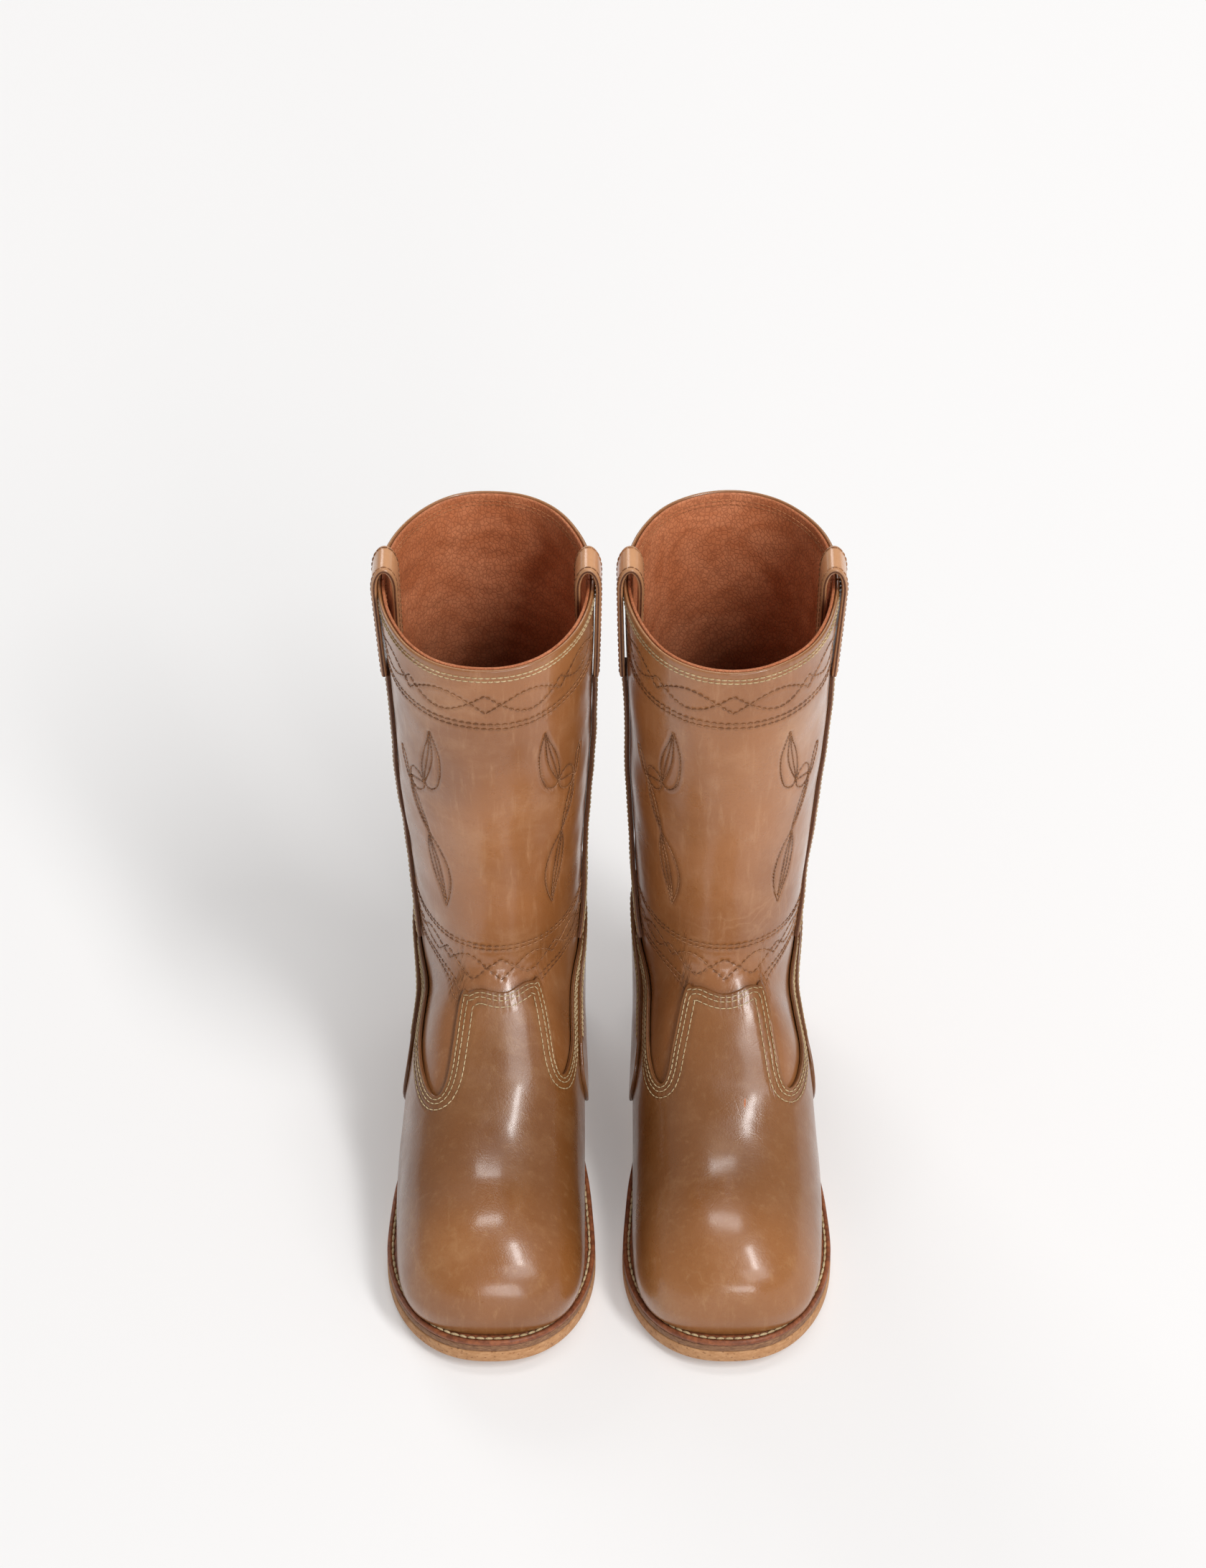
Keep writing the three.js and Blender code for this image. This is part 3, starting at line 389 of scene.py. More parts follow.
# ---- meshes
class Boot:
    """One boot of the pair: where it stands and the pieces made for it."""

    def __init__(self, name, side, seed, twist):
        self.name = name
        self.side = side
        self.body = f"{name}_boot"
        self.seed = seed
        self.skin = Skin(ripples(seed), twist)
        self.random = np.random.default_rng(seed + 100)

    def world(self, points):
        x = self.side * SPACING / 2 - self.side * points[:, 0]
        return np.stack([x, SOLE_LENGTH / 2 - points[:, 1], points[:, 2]], 1) * MM

    def make(self, name, points, faces, materials, slot, body=None, replaces=(), kinds=None,
             values=None, weld=False):
        """A piece from points in boot coordinates and lists of faces of one size each."""
        mesh = bpy.data.meshes.new(f"{self.name}_{name}")
        groups = [np.asarray(group) for group in faces]
        if self.side > 0:
            groups = [group[:, ::-1] for group in groups]
        corners = np.concatenate([group.ravel() for group in groups])
        sizes = np.concatenate([np.full(len(group), group.shape[1]) for group in groups])
        starts = np.concatenate([[0], np.cumsum(sizes)[:-1]])
        mesh.vertices.add(len(points))
        mesh.vertices.foreach_set("co", self.world(points).astype(np.float32).ravel())
        mesh.loops.add(len(corners))
        mesh.loops.foreach_set("vertex_index", corners.astype(np.int32))
        mesh.polygons.add(len(sizes))
        mesh.polygons.foreach_set("loop_start", starts.astype(np.int32))
        mesh.polygons.foreach_set("use_smooth", np.ones(len(sizes), bool))
        if kinds is not None:
            mesh.polygons.foreach_set("material_index", np.asarray(kinds, np.int32))
        for material in materials:
            mesh.materials.append(material)
        mesh.update(calc_edges=True)
        if values is not None:
            layer = mesh.attributes.new("tone", "FLOAT", "POINT")
            layer.data.foreach_set("value", np.asarray(values, np.float32))
        mesh.validate()
        if weld:
            weld_mesh(mesh)
        piece = bpy.data.objects.new(f"{self.name}_{name}_look", mesh)
        bpy.context.scene.collection.objects.link(piece)
        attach(piece, body or self.body)
        for node in replaces:
            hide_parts(f"{self.name}_{node}")

    def panel(self, name, face, back, tone, materials, slot, body=None):
        """A closed sheet between two grids of points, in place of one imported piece.

        The second material, if there is one, goes on the edges.
        """
        points, faces, kinds = shell(face, back)
        self.make(name, points, [faces], materials, slot, body, [name],
                  kinds if len(materials) > 1 else None, np.tile(tone.ravel(), 2))

    def ringed(self, name, rings, material, slot):
        """A solid from rings of points that close up at both ends, in place of one piece."""
        quads = grid_quads(len(rings), rings.shape[1], closed=True)
        self.make(name, rings.reshape(-1, 3), [quads], [material], slot, replaces=[name],
                  weld=True)


def weld_mesh(mesh):
    work = bmesh.new()
    work.from_mesh(mesh)
    bmesh.ops.remove_doubles(work, verts=work.verts, dist=0.00002)
    bmesh.ops.recalc_face_normals(work, faces=work.faces)
    work.to_mesh(mesh)
    work.free()


def grid_quads(rows, columns, closed=False):
    """Faces between neighbouring rows of points, and round to the first if closed."""
    last = columns if closed else columns - 1
    i, j = np.meshgrid(np.arange(rows - 1), np.arange(last), indexing="ij")
    k = (j + 1) % columns
    quads = np.stack([i * columns + j, i * columns + k, (i + 1) * columns + k,
                      (i + 1) * columns + j], -1)
    return quads.reshape(-1, 4)


def eased(span, count, radius):
    """Fractions across a span, with extra ones near both ends for a rounded edge."""
    ends = np.array([0, 0.12, 0.4, 1.0]) * radius / span
    inner = np.linspace(ends[-1], 1 - ends[-1], count)
    return np.concatenate([ends[:-1], inner, 1 - ends[:-1][::-1]])


def rounding(distance, radius):
    """How far an edge has dropped at a distance in from it."""
    t = np.clip(1 - distance / radius, 0, 1)
    return radius * (1 - np.sqrt(1 - t * t))


def shell(outer, inner):
    """A closed sheet between two grids of points: points, faces, and 1 for edge faces."""
    rows, columns = outer.shape[:2]
    half = rows * columns
    front = grid_quads(rows, columns)
    back = front[:, ::-1] + half
    i, j = np.arange(rows - 1), np.arange(columns - 1)
    top, bottom = (rows - 1) * columns + j, j
    left, right = i * columns, i * columns + columns - 1
    edges = np.concatenate([
        np.stack([top, top + 1, top + 1 + half, top + half], 1),
        np.stack([bottom + half, bottom + 1 + half, bottom + 1, bottom], 1),
        np.stack([left + half, left, left + columns, left + columns + half], 1),
        np.stack([right, right + half, right + columns + half, right + columns], 1)])
    points = np.concatenate([outer.reshape(-1, 3), inner.reshape(-1, 3)])
    faces = np.concatenate([front, back, edges])
    kinds = np.concatenate([np.zeros(len(front) + len(back)), np.ones(len(edges))])
    return points, faces, kinds


MM_A_DEGREE = 0.87


def sheet(boot, name, span, bottom, top, inner, outer, materials, pitch, threads, edge_tone,
          burnish_and_painted_shade=None):
    """A layer of the upper between two edges, with rounded rims.

    span is the first and last angle. bottom and top give levels by angle, inner and outer
    give depths by level and angle. The face sinks under the threads and swells beside them.
    """
    width = abs(span[1] - span[0]) * MM_A_DEGREE
    across = eased(width, max(8, round(width / pitch)), 0.8)
    angles = span[0] + (span[1] - span[0]) * across
    low, high = bottom(angles), top(angles)
    points = boot.skin.at(low, angles)
    heights = np.linalg.norm(boot.skin.at(high, angles) - points, axis=1)
    rise = eased(heights.mean(), max(6, round(heights.mean() / pitch)), 0.8)[:, None]
    level = low + (high - low) * rise
    angle = np.broadcast_to(angles, level.shape)
    nearest = np.minimum(rise * heights, (1 - rise) * heights)
    nearest = np.minimum(nearest, (np.minimum(across, 1 - across) * width)[None, :])
    out_low, out_high = inner(level, angle), outer(level, angle)
    drop = rounding(nearest, 0.75) * np.clip((out_high - out_low) / 1.8, 0.3, 1)
    tone = edge_tone * np.exp(-nearest / 2.2)
    face = boot.skin.at(level, angle, out_high - drop)
    # darkening by place, which is real wax on the vamp's instep and painted shade on the shaft
    # towards the ankle
    if burnish_and_painted_shade is not None:
        tone = np.maximum(tone, burnish_and_painted_shade(face))
    tree = search_tree(threads)
    near = np.array([tree.find(point)[2] for point in face.reshape(-1, 3)])
    near = near.reshape(level.shape)
    sunk = np.exp(-(near / 1.1) ** 2)
    swell = np.exp(-((near - 2.2) / 1.2) ** 2)
    normal = boot.skin.read(level, angle)[1]
    face = face + normal * (0.1 * swell - 0.4 * sunk)[..., None]
    # painted shade: the colour darkens in the sunk grooves under the threads
    tone = np.maximum(tone, 0.4 * sunk)
    back = boot.skin.at(level, angle, out_low + drop)
    boot.panel(name, face, back, tone, materials, "upper_leather")


def steady(value):
    return lambda *place: np.full(np.broadcast(*place).shape, float(value))


# ---- stitches
RINGS = 5
SIDES = 6


def evenly(points, normals, pitch):
    """Stitch middles, directions and normals at one pitch along a line of points."""
    run = run_along(points)
    count = max(1, int(run[-1] / pitch))
    pitch = run[-1] / count
    place = (np.arange(count) + 0.5) * pitch

    def take(values, where):
        return np.stack([np.interp(where, run, values[:, k]) for k in range(3)], 1)

    middle_points = take(points, place)
    ahead = take(points, np.minimum(place + pitch / 3, run[-1]))
    behind = take(points, np.maximum(place - pitch / 3, 0))
    direction = unit(ahead - behind, 1e-9)
    return middle_points, direction, unit(take(normals, place)), np.full(count, pitch)


def stitch_mesh(runs, radius, fill, lift, random):
    """Bowed little threads for runs of stitches, as points, quads and triangles."""
    centre, direction, normal, pitch = (np.concatenate(part) for part in zip(*runs))
    count = len(centre)
    across = unit(np.cross(direction, normal), 1e-9)
    length = pitch * fill * random.uniform(0.93, 1.07, count)
    turn = random.normal(0, 0.035, count)[:, None]
    direction = direction + across * turn
    u = np.linspace(-1, 1, RINGS)
    thick = radius * np.sqrt(1 - (0.86 * u) ** 2)
    bow = lift * (1 - u * u)
    phase = 2 * math.pi * np.arange(SIDES) / SIDES
    spine = (centre[:, None] + direction[:, None] * (length[:, None] / 2 * u)[..., None]
             + normal[:, None] * bow[None, :, None])
    ring = (normal[:, None] * np.cos(phase)[:, None] + across[:, None] * np.sin(phase)[:, None])
    tube = spine[:, :, None] + ring[:, None] * thick[None, :, None, None]
    tips = np.stack([spine[:, 0] - direction * radius * 0.4 - normal * radius * 0.4,
                     spine[:, -1] + direction * radius * 0.4 - normal * radius * 0.4], 1)
    points = np.concatenate([tube.reshape(count, -1, 3), tips], 1)
    each = RINGS * SIDES + 2
    quads = grid_quads(RINGS, SIDES, closed=True)
    k = np.arange(SIDES)
    first = np.stack([np.full(SIDES, each - 2), (k + 1) % SIDES, k], 1)
    base = (RINGS - 1) * SIDES
    last = np.stack([np.full(SIDES, each - 1), base + k, base + (k + 1) % SIDES], 1)
    start = (np.arange(count) * each)[:, None, None]
    quads = (quads[None] + start).reshape(-1, 4)
    fans = (np.concatenate([first, last])[None] + start).reshape(-1, 3)
    return points.reshape(-1, 3), quads, fans


def thread_piece(boot, name, runs, radius, fill, lift, material, body=None, replaces=()):
    """One piece of thread from runs of stitches.

    fill is the share of the pitch that a stitch takes up, lift how far it bows out.
    """
    points, quads, fans = stitch_mesh(runs, radius, fill, lift, boot.random)
    boot.make(name, points, [quads, fans], [material], "thread", body, replaces)


def spline(points, step=0.6):
    """A smooth line through a few points."""
    points = np.array(points, float)
    run = run_along(points)
    place = np.linspace(0, run[-1], max(3, int(run[-1] / step)))
    return np.stack([curve(list(zip(run, points[:, k])))(place)
                     for k in range(points.shape[1])], 1)


class Chart:
    """Finds the skin's angle from an arc length and a height, on the front or the back."""

    def __init__(self, skin, centre):
        self.skin = skin
        self.centre = centre
        self.heights = np.arange(92.0, BOOT_HEIGHT + 1, 4)
        self.turns = np.arange(-100.0, 100.5, 1)
        self.arcs = []
        for height in self.heights:
            angles = self.turns + centre
            points = skin.at(skin.level_at(height, angles), angles)
            run = run_along(points)
            self.arcs.append(run - np.interp(0, self.turns, run))

    def angle(self, across, height):
        k = np.interp(height, self.heights, np.arange(len(self.heights)))
        low = np.minimum(k.astype(int), len(self.heights) - 2)
        found = []
        for a, i, t in zip(across, low, k - low):
            found.append(mix(np.interp(a, self.arcs[i], self.turns),
                             np.interp(a, self.arcs[i + 1], self.turns), t))
        return np.array(found) + self.centre + self.skin.lean(height)

    def line(self, across, height, strips=False):
        """Points and normals on the skin along a line of arc lengths and heights.

        With strips, the line is kept between the side strips.
        """
        angle = self.angle(across, height)
        if strips:
            kept = np.abs(angle - self.centre) < 90 - STRIP_TURN
            angle, height = angle[kept], height[kept]
        level = self.skin.level_at(height, angle)
        normal = self.skin.read(level, angle)[1]
        return self.skin.at(level, angle), normal


# ---- ornament
BANDS = ((317.0, 41.0, 1.0), (131.8, 31.0, 0.85))
BAND_ROWS = ((304.5, 301.7), (146.0, 143.2), (121.4, 118.7))
MOTIF_ACROSS = 37.0
MOTIF_HEIGHT = 250.0
LEAF_LINES = [
    [(-6.5, 40), (-9, 33), (-11, 25), (-11.3, 17), (-10.3, 8), (-7, 0), (-4, -2), (0, 0)],
    [(-6.5, 40), (-4.4, 32), (-1.8, 25), (0.2, 17), (0.8, 9), (0, 0)],
    [(-6.6, 38), (-6.8, 29), (-6.2, 19), (-3.6, 9), (0, 0)],
    [(-6.2, 38), (-4.8, 27), (-2.8, 17), (-1.2, 8), (0, 0)],
    [(0, 0), (3, 4.6), (7.4, 5.4), (11, 2), (11.8, -4)],
    [(0, 0), (0.8, -4.7), (5, -8.6), (9.8, -7.8), (11.8, -4)],
    [(0, 0), (5.4, -1.6), (11.8, -4)],
    [(12, -6.5), (14, 0), (17.5, 9), (20, 11), (20, 7), (17, 0), (13, -6), (12, -6.5)],
    [(11.8, -4), (7.5, -12), (3.4, -22), (0.8, -30), (-0.5, -36)],
    [(11.8, -4), (11, -12), (8, -22), (3.4, -30), (-0.5, -36)],
    [(11.8, -4), (9.4, -14), (5.4, -24), (-0.5, -36)],
    [(-0.5, -36), (-6, -43), (-10.4, -53), (-12, -62), (-11, -73), (-8, -84)],
    [(-0.5, -36), (0.5, -45), (0, -56), (-2.6, -67), (-6, -77), (-8, -84)],
    [(-0.7, -38), (-4.2, -50), (-6.6, -64), (-8.2, -80)],
    [(-0.5, -38), (-2, -50), (-4.4, -64), (-7.8, -80)],
]


def band_height(across, small_at, scale):
    """Half height of the crossing waves along a band, with lozenges between them."""
    a = np.abs(across)
    lens = small_at - 4.2 - 7.5
    repeat = lens + 8.4
    place = np.mod(a - 7.5, repeat)
    lozenge = 5.6 * np.clip(1 - a / 7.5, 0, 1)
    wave = 6.2 * np.sin(np.clip(place / lens, 0, 1) * math.pi)
    small = 4.0 * np.clip(1 - np.abs(place - lens - 4.2) / 4.2, 0, 1)
    return np.where(a < 7.5, lozenge, wave + small) * scale


def ornament(chart):
    """Runs of decorative stitches on one side of the shaft, from strip to strip."""
    runs = []
    widest = 96
    across = np.arange(-widest, widest + 0.01, 0.7)
    for height, small_at, scale in BANDS:
        for sign in (-1, 1):
            half = band_height(across, small_at, scale)
            runs.append(evenly(*chart.line(across, height + sign * half, strips=True), 3.3))
    for pair in BAND_ROWS:
        for height in pair:
            row = chart.line(across, np.full(len(across), height), strips=True)
            runs.append(evenly(*row, 3.4))
    for side in (-1, 1):
        for points in LEAF_LINES:
            path = spline(points)
            line = chart.line(side * (MOTIF_ACROSS + path[:, 0]), MOTIF_HEIGHT + path[:, 1])
            runs.append(evenly(*line, 2.35))
    return runs


# ---- materials
def linear(red, green, blue):
    """A colour from 0 to 255 display values."""
    def channel(value):
        value /= 255
        return value / 12.92 if value <= 0.04045 else ((value + 0.055) / 1.055) ** 2.4
    return (channel(red), channel(green), channel(blue), 1.0)


class Paint:
    """A node material being put together."""

    def __init__(self, name):
        self.material = bpy.data.materials.new(name)
        self.material.use_nodes = True
        self.tree = self.material.node_tree
        self.shader = self.tree.nodes["Principled BSDF"]
        self.place = self.tree.nodes.new("ShaderNodeTexCoord").outputs["Object"]

    def node(self, kind, **inputs):
        made = self.tree.nodes.new(kind)
        for name, value in inputs.items():
            self.feed(made.inputs[name.replace("_", " ")], value)
        return made

    def feed(self, socket, value):
        if isinstance(value, bpy.types.NodeSocket):
            self.tree.links.new(value, socket)
        else:
            socket.default_value = value

    def stretch(self, scale):
        made = self.node("ShaderNodeMapping", Vector=self.place)
        made.inputs["Scale"].default_value = scale
        return made.outputs[0]

    def noise(self, scale, detail=3.0, rough=0.55, place=None, warp=0.0):
        made = self.node("ShaderNodeTexNoise", Vector=place or self.place, Scale=scale,
                         Detail=detail, Roughness=rough, Distortion=warp)
        return made.outputs["Fac"]

    def cells(self, scale, place=None, feature="F1"):
        made = self.node("ShaderNodeTexVoronoi", Vector=place or self.place, Scale=scale)
        made.feature = feature
        return made.outputs["Distance"]

    def spread(self, value, low, high, to_low=0.0, to_high=1.0):
        made = self.node("ShaderNodeMapRange", Value=value)
        made.interpolation_type = "SMOOTHSTEP"
        for key, number in (("From Min", low), ("From Max", high), ("To Min", to_low),
                            ("To Max", to_high)):
            made.inputs[key].default_value = number
        return made.outputs["Result"]

    def sum(self, first, second, operation="ADD"):
        made = self.tree.nodes.new("ShaderNodeMath")
        made.operation = operation
        self.feed(made.inputs[0], first)
        self.feed(made.inputs[1], second)
        return made.outputs[0]

    def blend(self, amount, first, second):
        made = self.tree.nodes.new("ShaderNodeMix")
        made.data_type = "RGBA"
        self.feed(made.inputs["Factor"], amount)
        self.feed(made.inputs["A"], first)
        self.feed(made.inputs["B"], second)
        return next(out for out in made.outputs if out.type == "RGBA" and out.enabled)

    def tone(self):
        made = self.tree.nodes.new("ShaderNodeAttribute")
        made.attribute_name = "tone"
        return made.outputs["Fac"]

    def bump(self, height, depth, strength=1.0):
        made = self.node("ShaderNodeBump", Height=height, Strength=strength)
        made.inputs["Distance"].default_value = depth * MM
        self.feed(self.shader.inputs["Normal"], made.outputs[0])

    def finish(self, colour, rough, **settings):
        self.feed(self.shader.inputs["Base Color"], colour)
        self.feed(self.shader.inputs["Roughness"], rough)
        for name, value in settings.items():
            self.shader.inputs[name.replace("_", " ")].default_value = value
        return self.material


def shaded(red, green, blue, shade):
    """A colour from 0 to 255 values, each channel made lighter or darker."""
    made = linear(red, green, blue)
    return tuple(c * k for c, k in zip(made, shade)) + (1.0,)


def upper_leather(name, shade, faded=0.0):
    """Waxed pull-up leather: mottled tan, darker where the tone attribute says: dark cut edges,
    wax on the vamp's instep, and painted shade in the stitch grooves and on the shaft towards
    the ankle.
    """
    paint = Paint(name)
    tan = shaded(171, 114, 69, shade)
    brown = shaded(144, 91, 49, shade)
    pale = shaded(194, 148, 110, shade)
    dark = shaded(84, 52, 28, shade)
    broad = paint.spread(paint.noise(10, 3, 0.5, warp=0.2), 0.3, 0.7)
    cloud = paint.spread(paint.noise(30, 6, 0.7, warp=0.3), 0.45, 0.8)
    fleck = paint.spread(paint.noise(620, 3, 0.6), 0.5, 0.8, 0, 0.35)
    pulled = paint.noise(1, 6, 0.7, place=paint.stretch((260, 260, 34)), warp=0.3)
    streak = paint.spread(pulled, 0.5, 0.78, 0, 0.5)
    colour = paint.blend(broad, brown, tan)
    colour = paint.blend(paint.sum(cloud, 0.5, "MULTIPLY"), colour, pale)
    bent = paint.node("ShaderNodeVectorMath")
    bent.operation = "MULTIPLY_ADD"
    wobble = paint.node("ShaderNodeTexNoise", Vector=paint.place, Scale=34, Detail=4)
    paint.feed(bent.inputs[0], wobble.outputs["Color"])
    bent.inputs[1].default_value = (0.05, 0.05, 0.05)
    paint.feed(bent.inputs[2], paint.place)
    lines = paint.spread(paint.cells(21, bent.outputs[0], "DISTANCE_TO_EDGE"), 0, 0.028, 1, 0)
    patch = paint.spread(paint.noise(16, 2, 0.5), 0.52, 0.66, 0, 0.22)
    colour = paint.blend(paint.sum(lines, patch, "MULTIPLY"), colour, pale)
    smoke = paint.spread(paint.noise(24, 5, 0.7, warp=0.4), 0.5, 0.85, 0, 0.4)
    colour = paint.blend(smoke, colour, brown)
    colour = paint.blend(streak, colour, pale)
    colour = paint.blend(fleck, colour, brown)
    colour = paint.blend(faded, colour, pale)
    # the tone attribute darkens the colour: real cut edges and instep wax, painted shade in
    # stitch grooves and on the lower shaft
    colour = paint.blend(paint.tone(), colour, dark)
    creases = paint.cells(95, paint.stretch((1, 1, 0.45)), "DISTANCE_TO_EDGE")
    grain = paint.sum(paint.noise(1500, 2, 0.5), 0.35, "MULTIPLY")
    pores = paint.sum(paint.cells(1100), grain)
    rough = paint.spread(paint.noise(55, 4, 0.6), 0.3, 0.7, 0.25, 0.42)
    soft = paint.sum(paint.spread(creases, 0, 0.05, 0, 0.5), pores)
    soft = paint.sum(soft, paint.sum(paint.noise(210, 3, 0.6), 1.6, "MULTIPLY"))
    paint.bump(soft, 0.06, 0.7)
    return paint.finish(colour, rough, Coat_Weight=0.5, Coat_Roughness=0.17,
                        Specular_IOR_Level=0.42)


def lining_leather(name):
    """Unsealed orange-brown lining with fine wrinkled grain."""
    paint = Paint(name)
    cloud = paint.spread(paint.noise(30, 5, 0.65, warp=0.8), 0.35, 0.7)
    grain = paint.cells(520, paint.stretch((1, 1, 0.7)), "DISTANCE_TO_EDGE")
    colour = paint.blend(cloud, linear(190, 112, 70), linear(214, 138, 96))
    colour = paint.blend(paint.spread(grain, 0.0, 0.16, 0.4, 0), colour, linear(120, 62, 36))
    # the tone attribute darkens the lining's edges, and deeper down it paints shade inside the
    # shaft
    colour = paint.blend(paint.tone(), colour, linear(84, 38, 22))
    folds = paint.noise(1, 4, 0.6, place=paint.stretch((120, 120, 60)), warp=0.4)
    paint.bump(paint.sum(paint.spread(grain, 0, 0.2), folds), 0.16, 0.6)
    return paint.finish(colour, 0.62, Specular_IOR_Level=0.35)


def cut_edge(name, first, second):
    """The burnished cut edge of thick leather."""
    paint = Paint(name)
    fibre = paint.noise(900, 4, 0.7, place=paint.stretch((1, 1, 2.4)))
    colour = paint.blend(paint.spread(fibre, 0.35, 0.7), first, second)
    paint.bump(fibre, 0.14, 0.7)
    return paint.finish(colour, 0.6, Specular_IOR_Level=0.3)


def plain_grain(name, first, second, scale, rough, depth, flat=(1, 1, 1), specks=None):
    """A solid material with grain, and specks where it has them."""
    paint = Paint(name)
    grain = paint.noise(scale, 5, 0.65, place=paint.stretch(flat))
    colour = paint.blend(paint.spread(grain, 0.35, 0.68), first, second)
    height = grain
    if specks:
        dots = paint.cells(specks[0])
        colour = paint.blend(paint.spread(dots, 0.12, 0.3, 0.75, 0), colour, specks[1])
        height = paint.sum(grain, paint.spread(dots, 0, 0.35), "ADD")
    paint.bump(height, depth, 0.6)
    return paint.finish(colour, rough, Specular_IOR_Level=0.35)


def thread_paint(name, first, second):
    """Waxed twisted thread."""
    paint = Paint(name)
    twist = paint.noise(1900, 2, 0.5, warp=1.0)
    fade = paint.noise(60, 3, 0.5)
    colour = paint.blend(paint.spread(paint.sum(twist, fade), 0.8, 1.2), first, second)
    paint.bump(twist, 0.1, 0.7)
    return paint.finish(colour, 0.7, Specular_IOR_Level=0.2)


UPPER = upper_leather("upper_leather", (0.9, 0.86, 0.8))
UPPER_WARM = upper_leather("upper_leather_vamp", (0.75, 0.7, 0.56))
RIM_EDGE = cut_edge("rim_edge", linear(176, 128, 88), linear(204, 162, 122))
DARK_EDGE = cut_edge("dark_edge", linear(74, 42, 26), linear(108, 66, 42))
STRAP = upper_leather("strap_leather", (1.3, 1.3, 1.3), 0.55)
STRIP = upper_leather("strip_leather", (0.9, 0.88, 0.84))
LINING_LOOK = lining_leather("lining_leather")
WELT_LOOK = plain_grain("welt_leather", linear(108, 58, 34), linear(150, 88, 54), 300, 0.45,
                        0.1)
MIDSOLE_LOOK = plain_grain("midsole_leather", linear(112, 76, 52), linear(150, 110, 78), 400,
                           0.6, 0.14, (1, 1, 3))
OUTSOLE_LOOK = plain_grain("crepe_outsole", linear(170, 122, 80), linear(192, 146, 104), 260,
                           0.68, 0.2, (1, 1, 2), (420, linear(136, 90, 56)))
HEEL_LOOK = plain_grain("heel_leather", linear(120, 74, 44), linear(160, 108, 70), 240, 0.5,
                        0.16, (1, 1, 7))
RUBBER = plain_grain("heel_rubber", linear(62, 42, 30), linear(84, 58, 42), 700, 0.75, 0.12,
                     specks=(300, linear(40, 28, 22)))
INSOLE_LOOK = plain_grain("insole_leather", linear(176, 128, 88), linear(200, 152, 110), 300,
                          0.7, 0.1)
BOARD = plain_grain("fibreboard", linear(120, 98, 76), linear(160, 134, 106), 800, 0.85, 0.1)
CORK = plain_grain("cork", linear(150, 104, 66), linear(190, 142, 96), 200, 0.9, 0.3,
                   specks=(260, linear(92, 58, 36)))
BEIGE_THREAD = thread_paint("beige_thread", linear(166, 142, 106), linear(204, 182, 144))
BROWN_THREAD = thread_paint("brown_thread", linear(108, 70, 45), linear(172, 124, 88))
LINING_THREAD = thread_paint("lining_thread", linear(150, 92, 58), linear(186, 126, 86))
RIM_THREAD = (0.4, 0.85, 0.14, BEIGE_THREAD)
RIM_LINING_THREAD = (0.3, 0.85, 0.14, LINING_THREAD)
ORNAMENT_THREAD = (0.24, 0.84, 0.08, BROWN_THREAD)
SEAM_THREAD = (0.31, 0.82, 0.1, BEIGE_THREAD)
STRAP_THREAD = (0.34, 0.84, 0.1, BROWN_THREAD)
WELT_THREAD = (0.72, 0.9, 0.3, BEIGE_THREAD)
STEEL = Paint("steel")
STEEL_SCUFF = STEEL.noise(300, 3, 0.6, place=STEEL.stretch((1, 6, 1)))
STEEL.bump(STEEL_SCUFF, 0.03, 0.5)
STEEL_LOOK = STEEL.finish(STEEL.blend(STEEL_SCUFF, linear(120, 120, 122), linear(176, 176, 178)),
                          0.38, Metallic=1.0)


# ---- upper, in degrees round the boot, levels up the skin and millimetres off it
vamp_edge = curve([
    (0, 0.492), (20, 0.49), (25, 0.482), (28, 0.44), (31, 0.405), (35, 0.376), (40, 0.355),
    (46, 0.346), (54, 0.352), (64, 0.375), (76, 0.4), (90, 0.415), (112, 0.42)])
counter_edge = curve([
    (84, 0.255), (88, 0.31), (93, 0.365), (100, 0.41), (120, 0.455), (150, 0.48), (180, 0.49)])
counter_foot = curve([(84, 0.21), (88, 0.12), (93, 0.04), (100, 0), (180, 0)])
VAMP_SIDE = 110
COUNTER_FRONT = 84
SEAM = 0.35
FRONT_SPAN = (-90 + SEAM, 90 - SEAM)
BACK_SPAN = (90 + SEAM, 270 - SEAM)
VAMP_OUT = 0.55
VAMP_OVERLAP = 0.07
RIM_ROWS = (4.0, 6.3)
EDGE_ROWS = (2.0, 4.1, 7.3)
COUNTER_ROWS = (1.9, 4.0)
SEAM_PITCH = 3.05
STRAP_PITCH = 3.2
THREAD_OUT = 0.05


def folded(angle):
    """How far round from the front an angle is, on either side."""
    return np.abs((np.asarray(angle, float) + 180) % 360 - 180)


def vamp_top(boot):
    """The vamp's edge on one boot, turned with its lean but fixed at the rear ends."""
    def level(angle):
        angle = np.asarray(angle, float)
        held = np.clip((104 - folded(angle)) / 30, 0, 1)
        unturned = angle - boot.skin.twist * held
        height = boot.skin.read(vamp_edge(folded(unturned)), unturned)[0][..., 2]
        return boot.skin.level_at(height, angle)
    return level


def edge_line(boot, edge, angles, inset, out):
    """A line set in from a curved edge of a panel, on the panel's face."""
    level = edge(angles)
    points, normals = boot.skin.read(level, angles)
    down = unit(np.cross(unit(np.gradient(points, axis=0)), normals))
    below, _ = boot.skin.read(level - 0.01, angles)
    down *= np.sign(np.sum(down * (below - points), axis=1, keepdims=True))
    line = points + down * inset
    apart = np.linalg.norm(line[:, None] - points[None], axis=2).min(axis=1)
    clear = apart > 0.93 * inset
    line, angles = line[clear], angles[clear]
    if callable(out):
        out = out(boot.skin.level_at(line[:, 2], angles), angles)
    return boot.skin.settle(line, out)


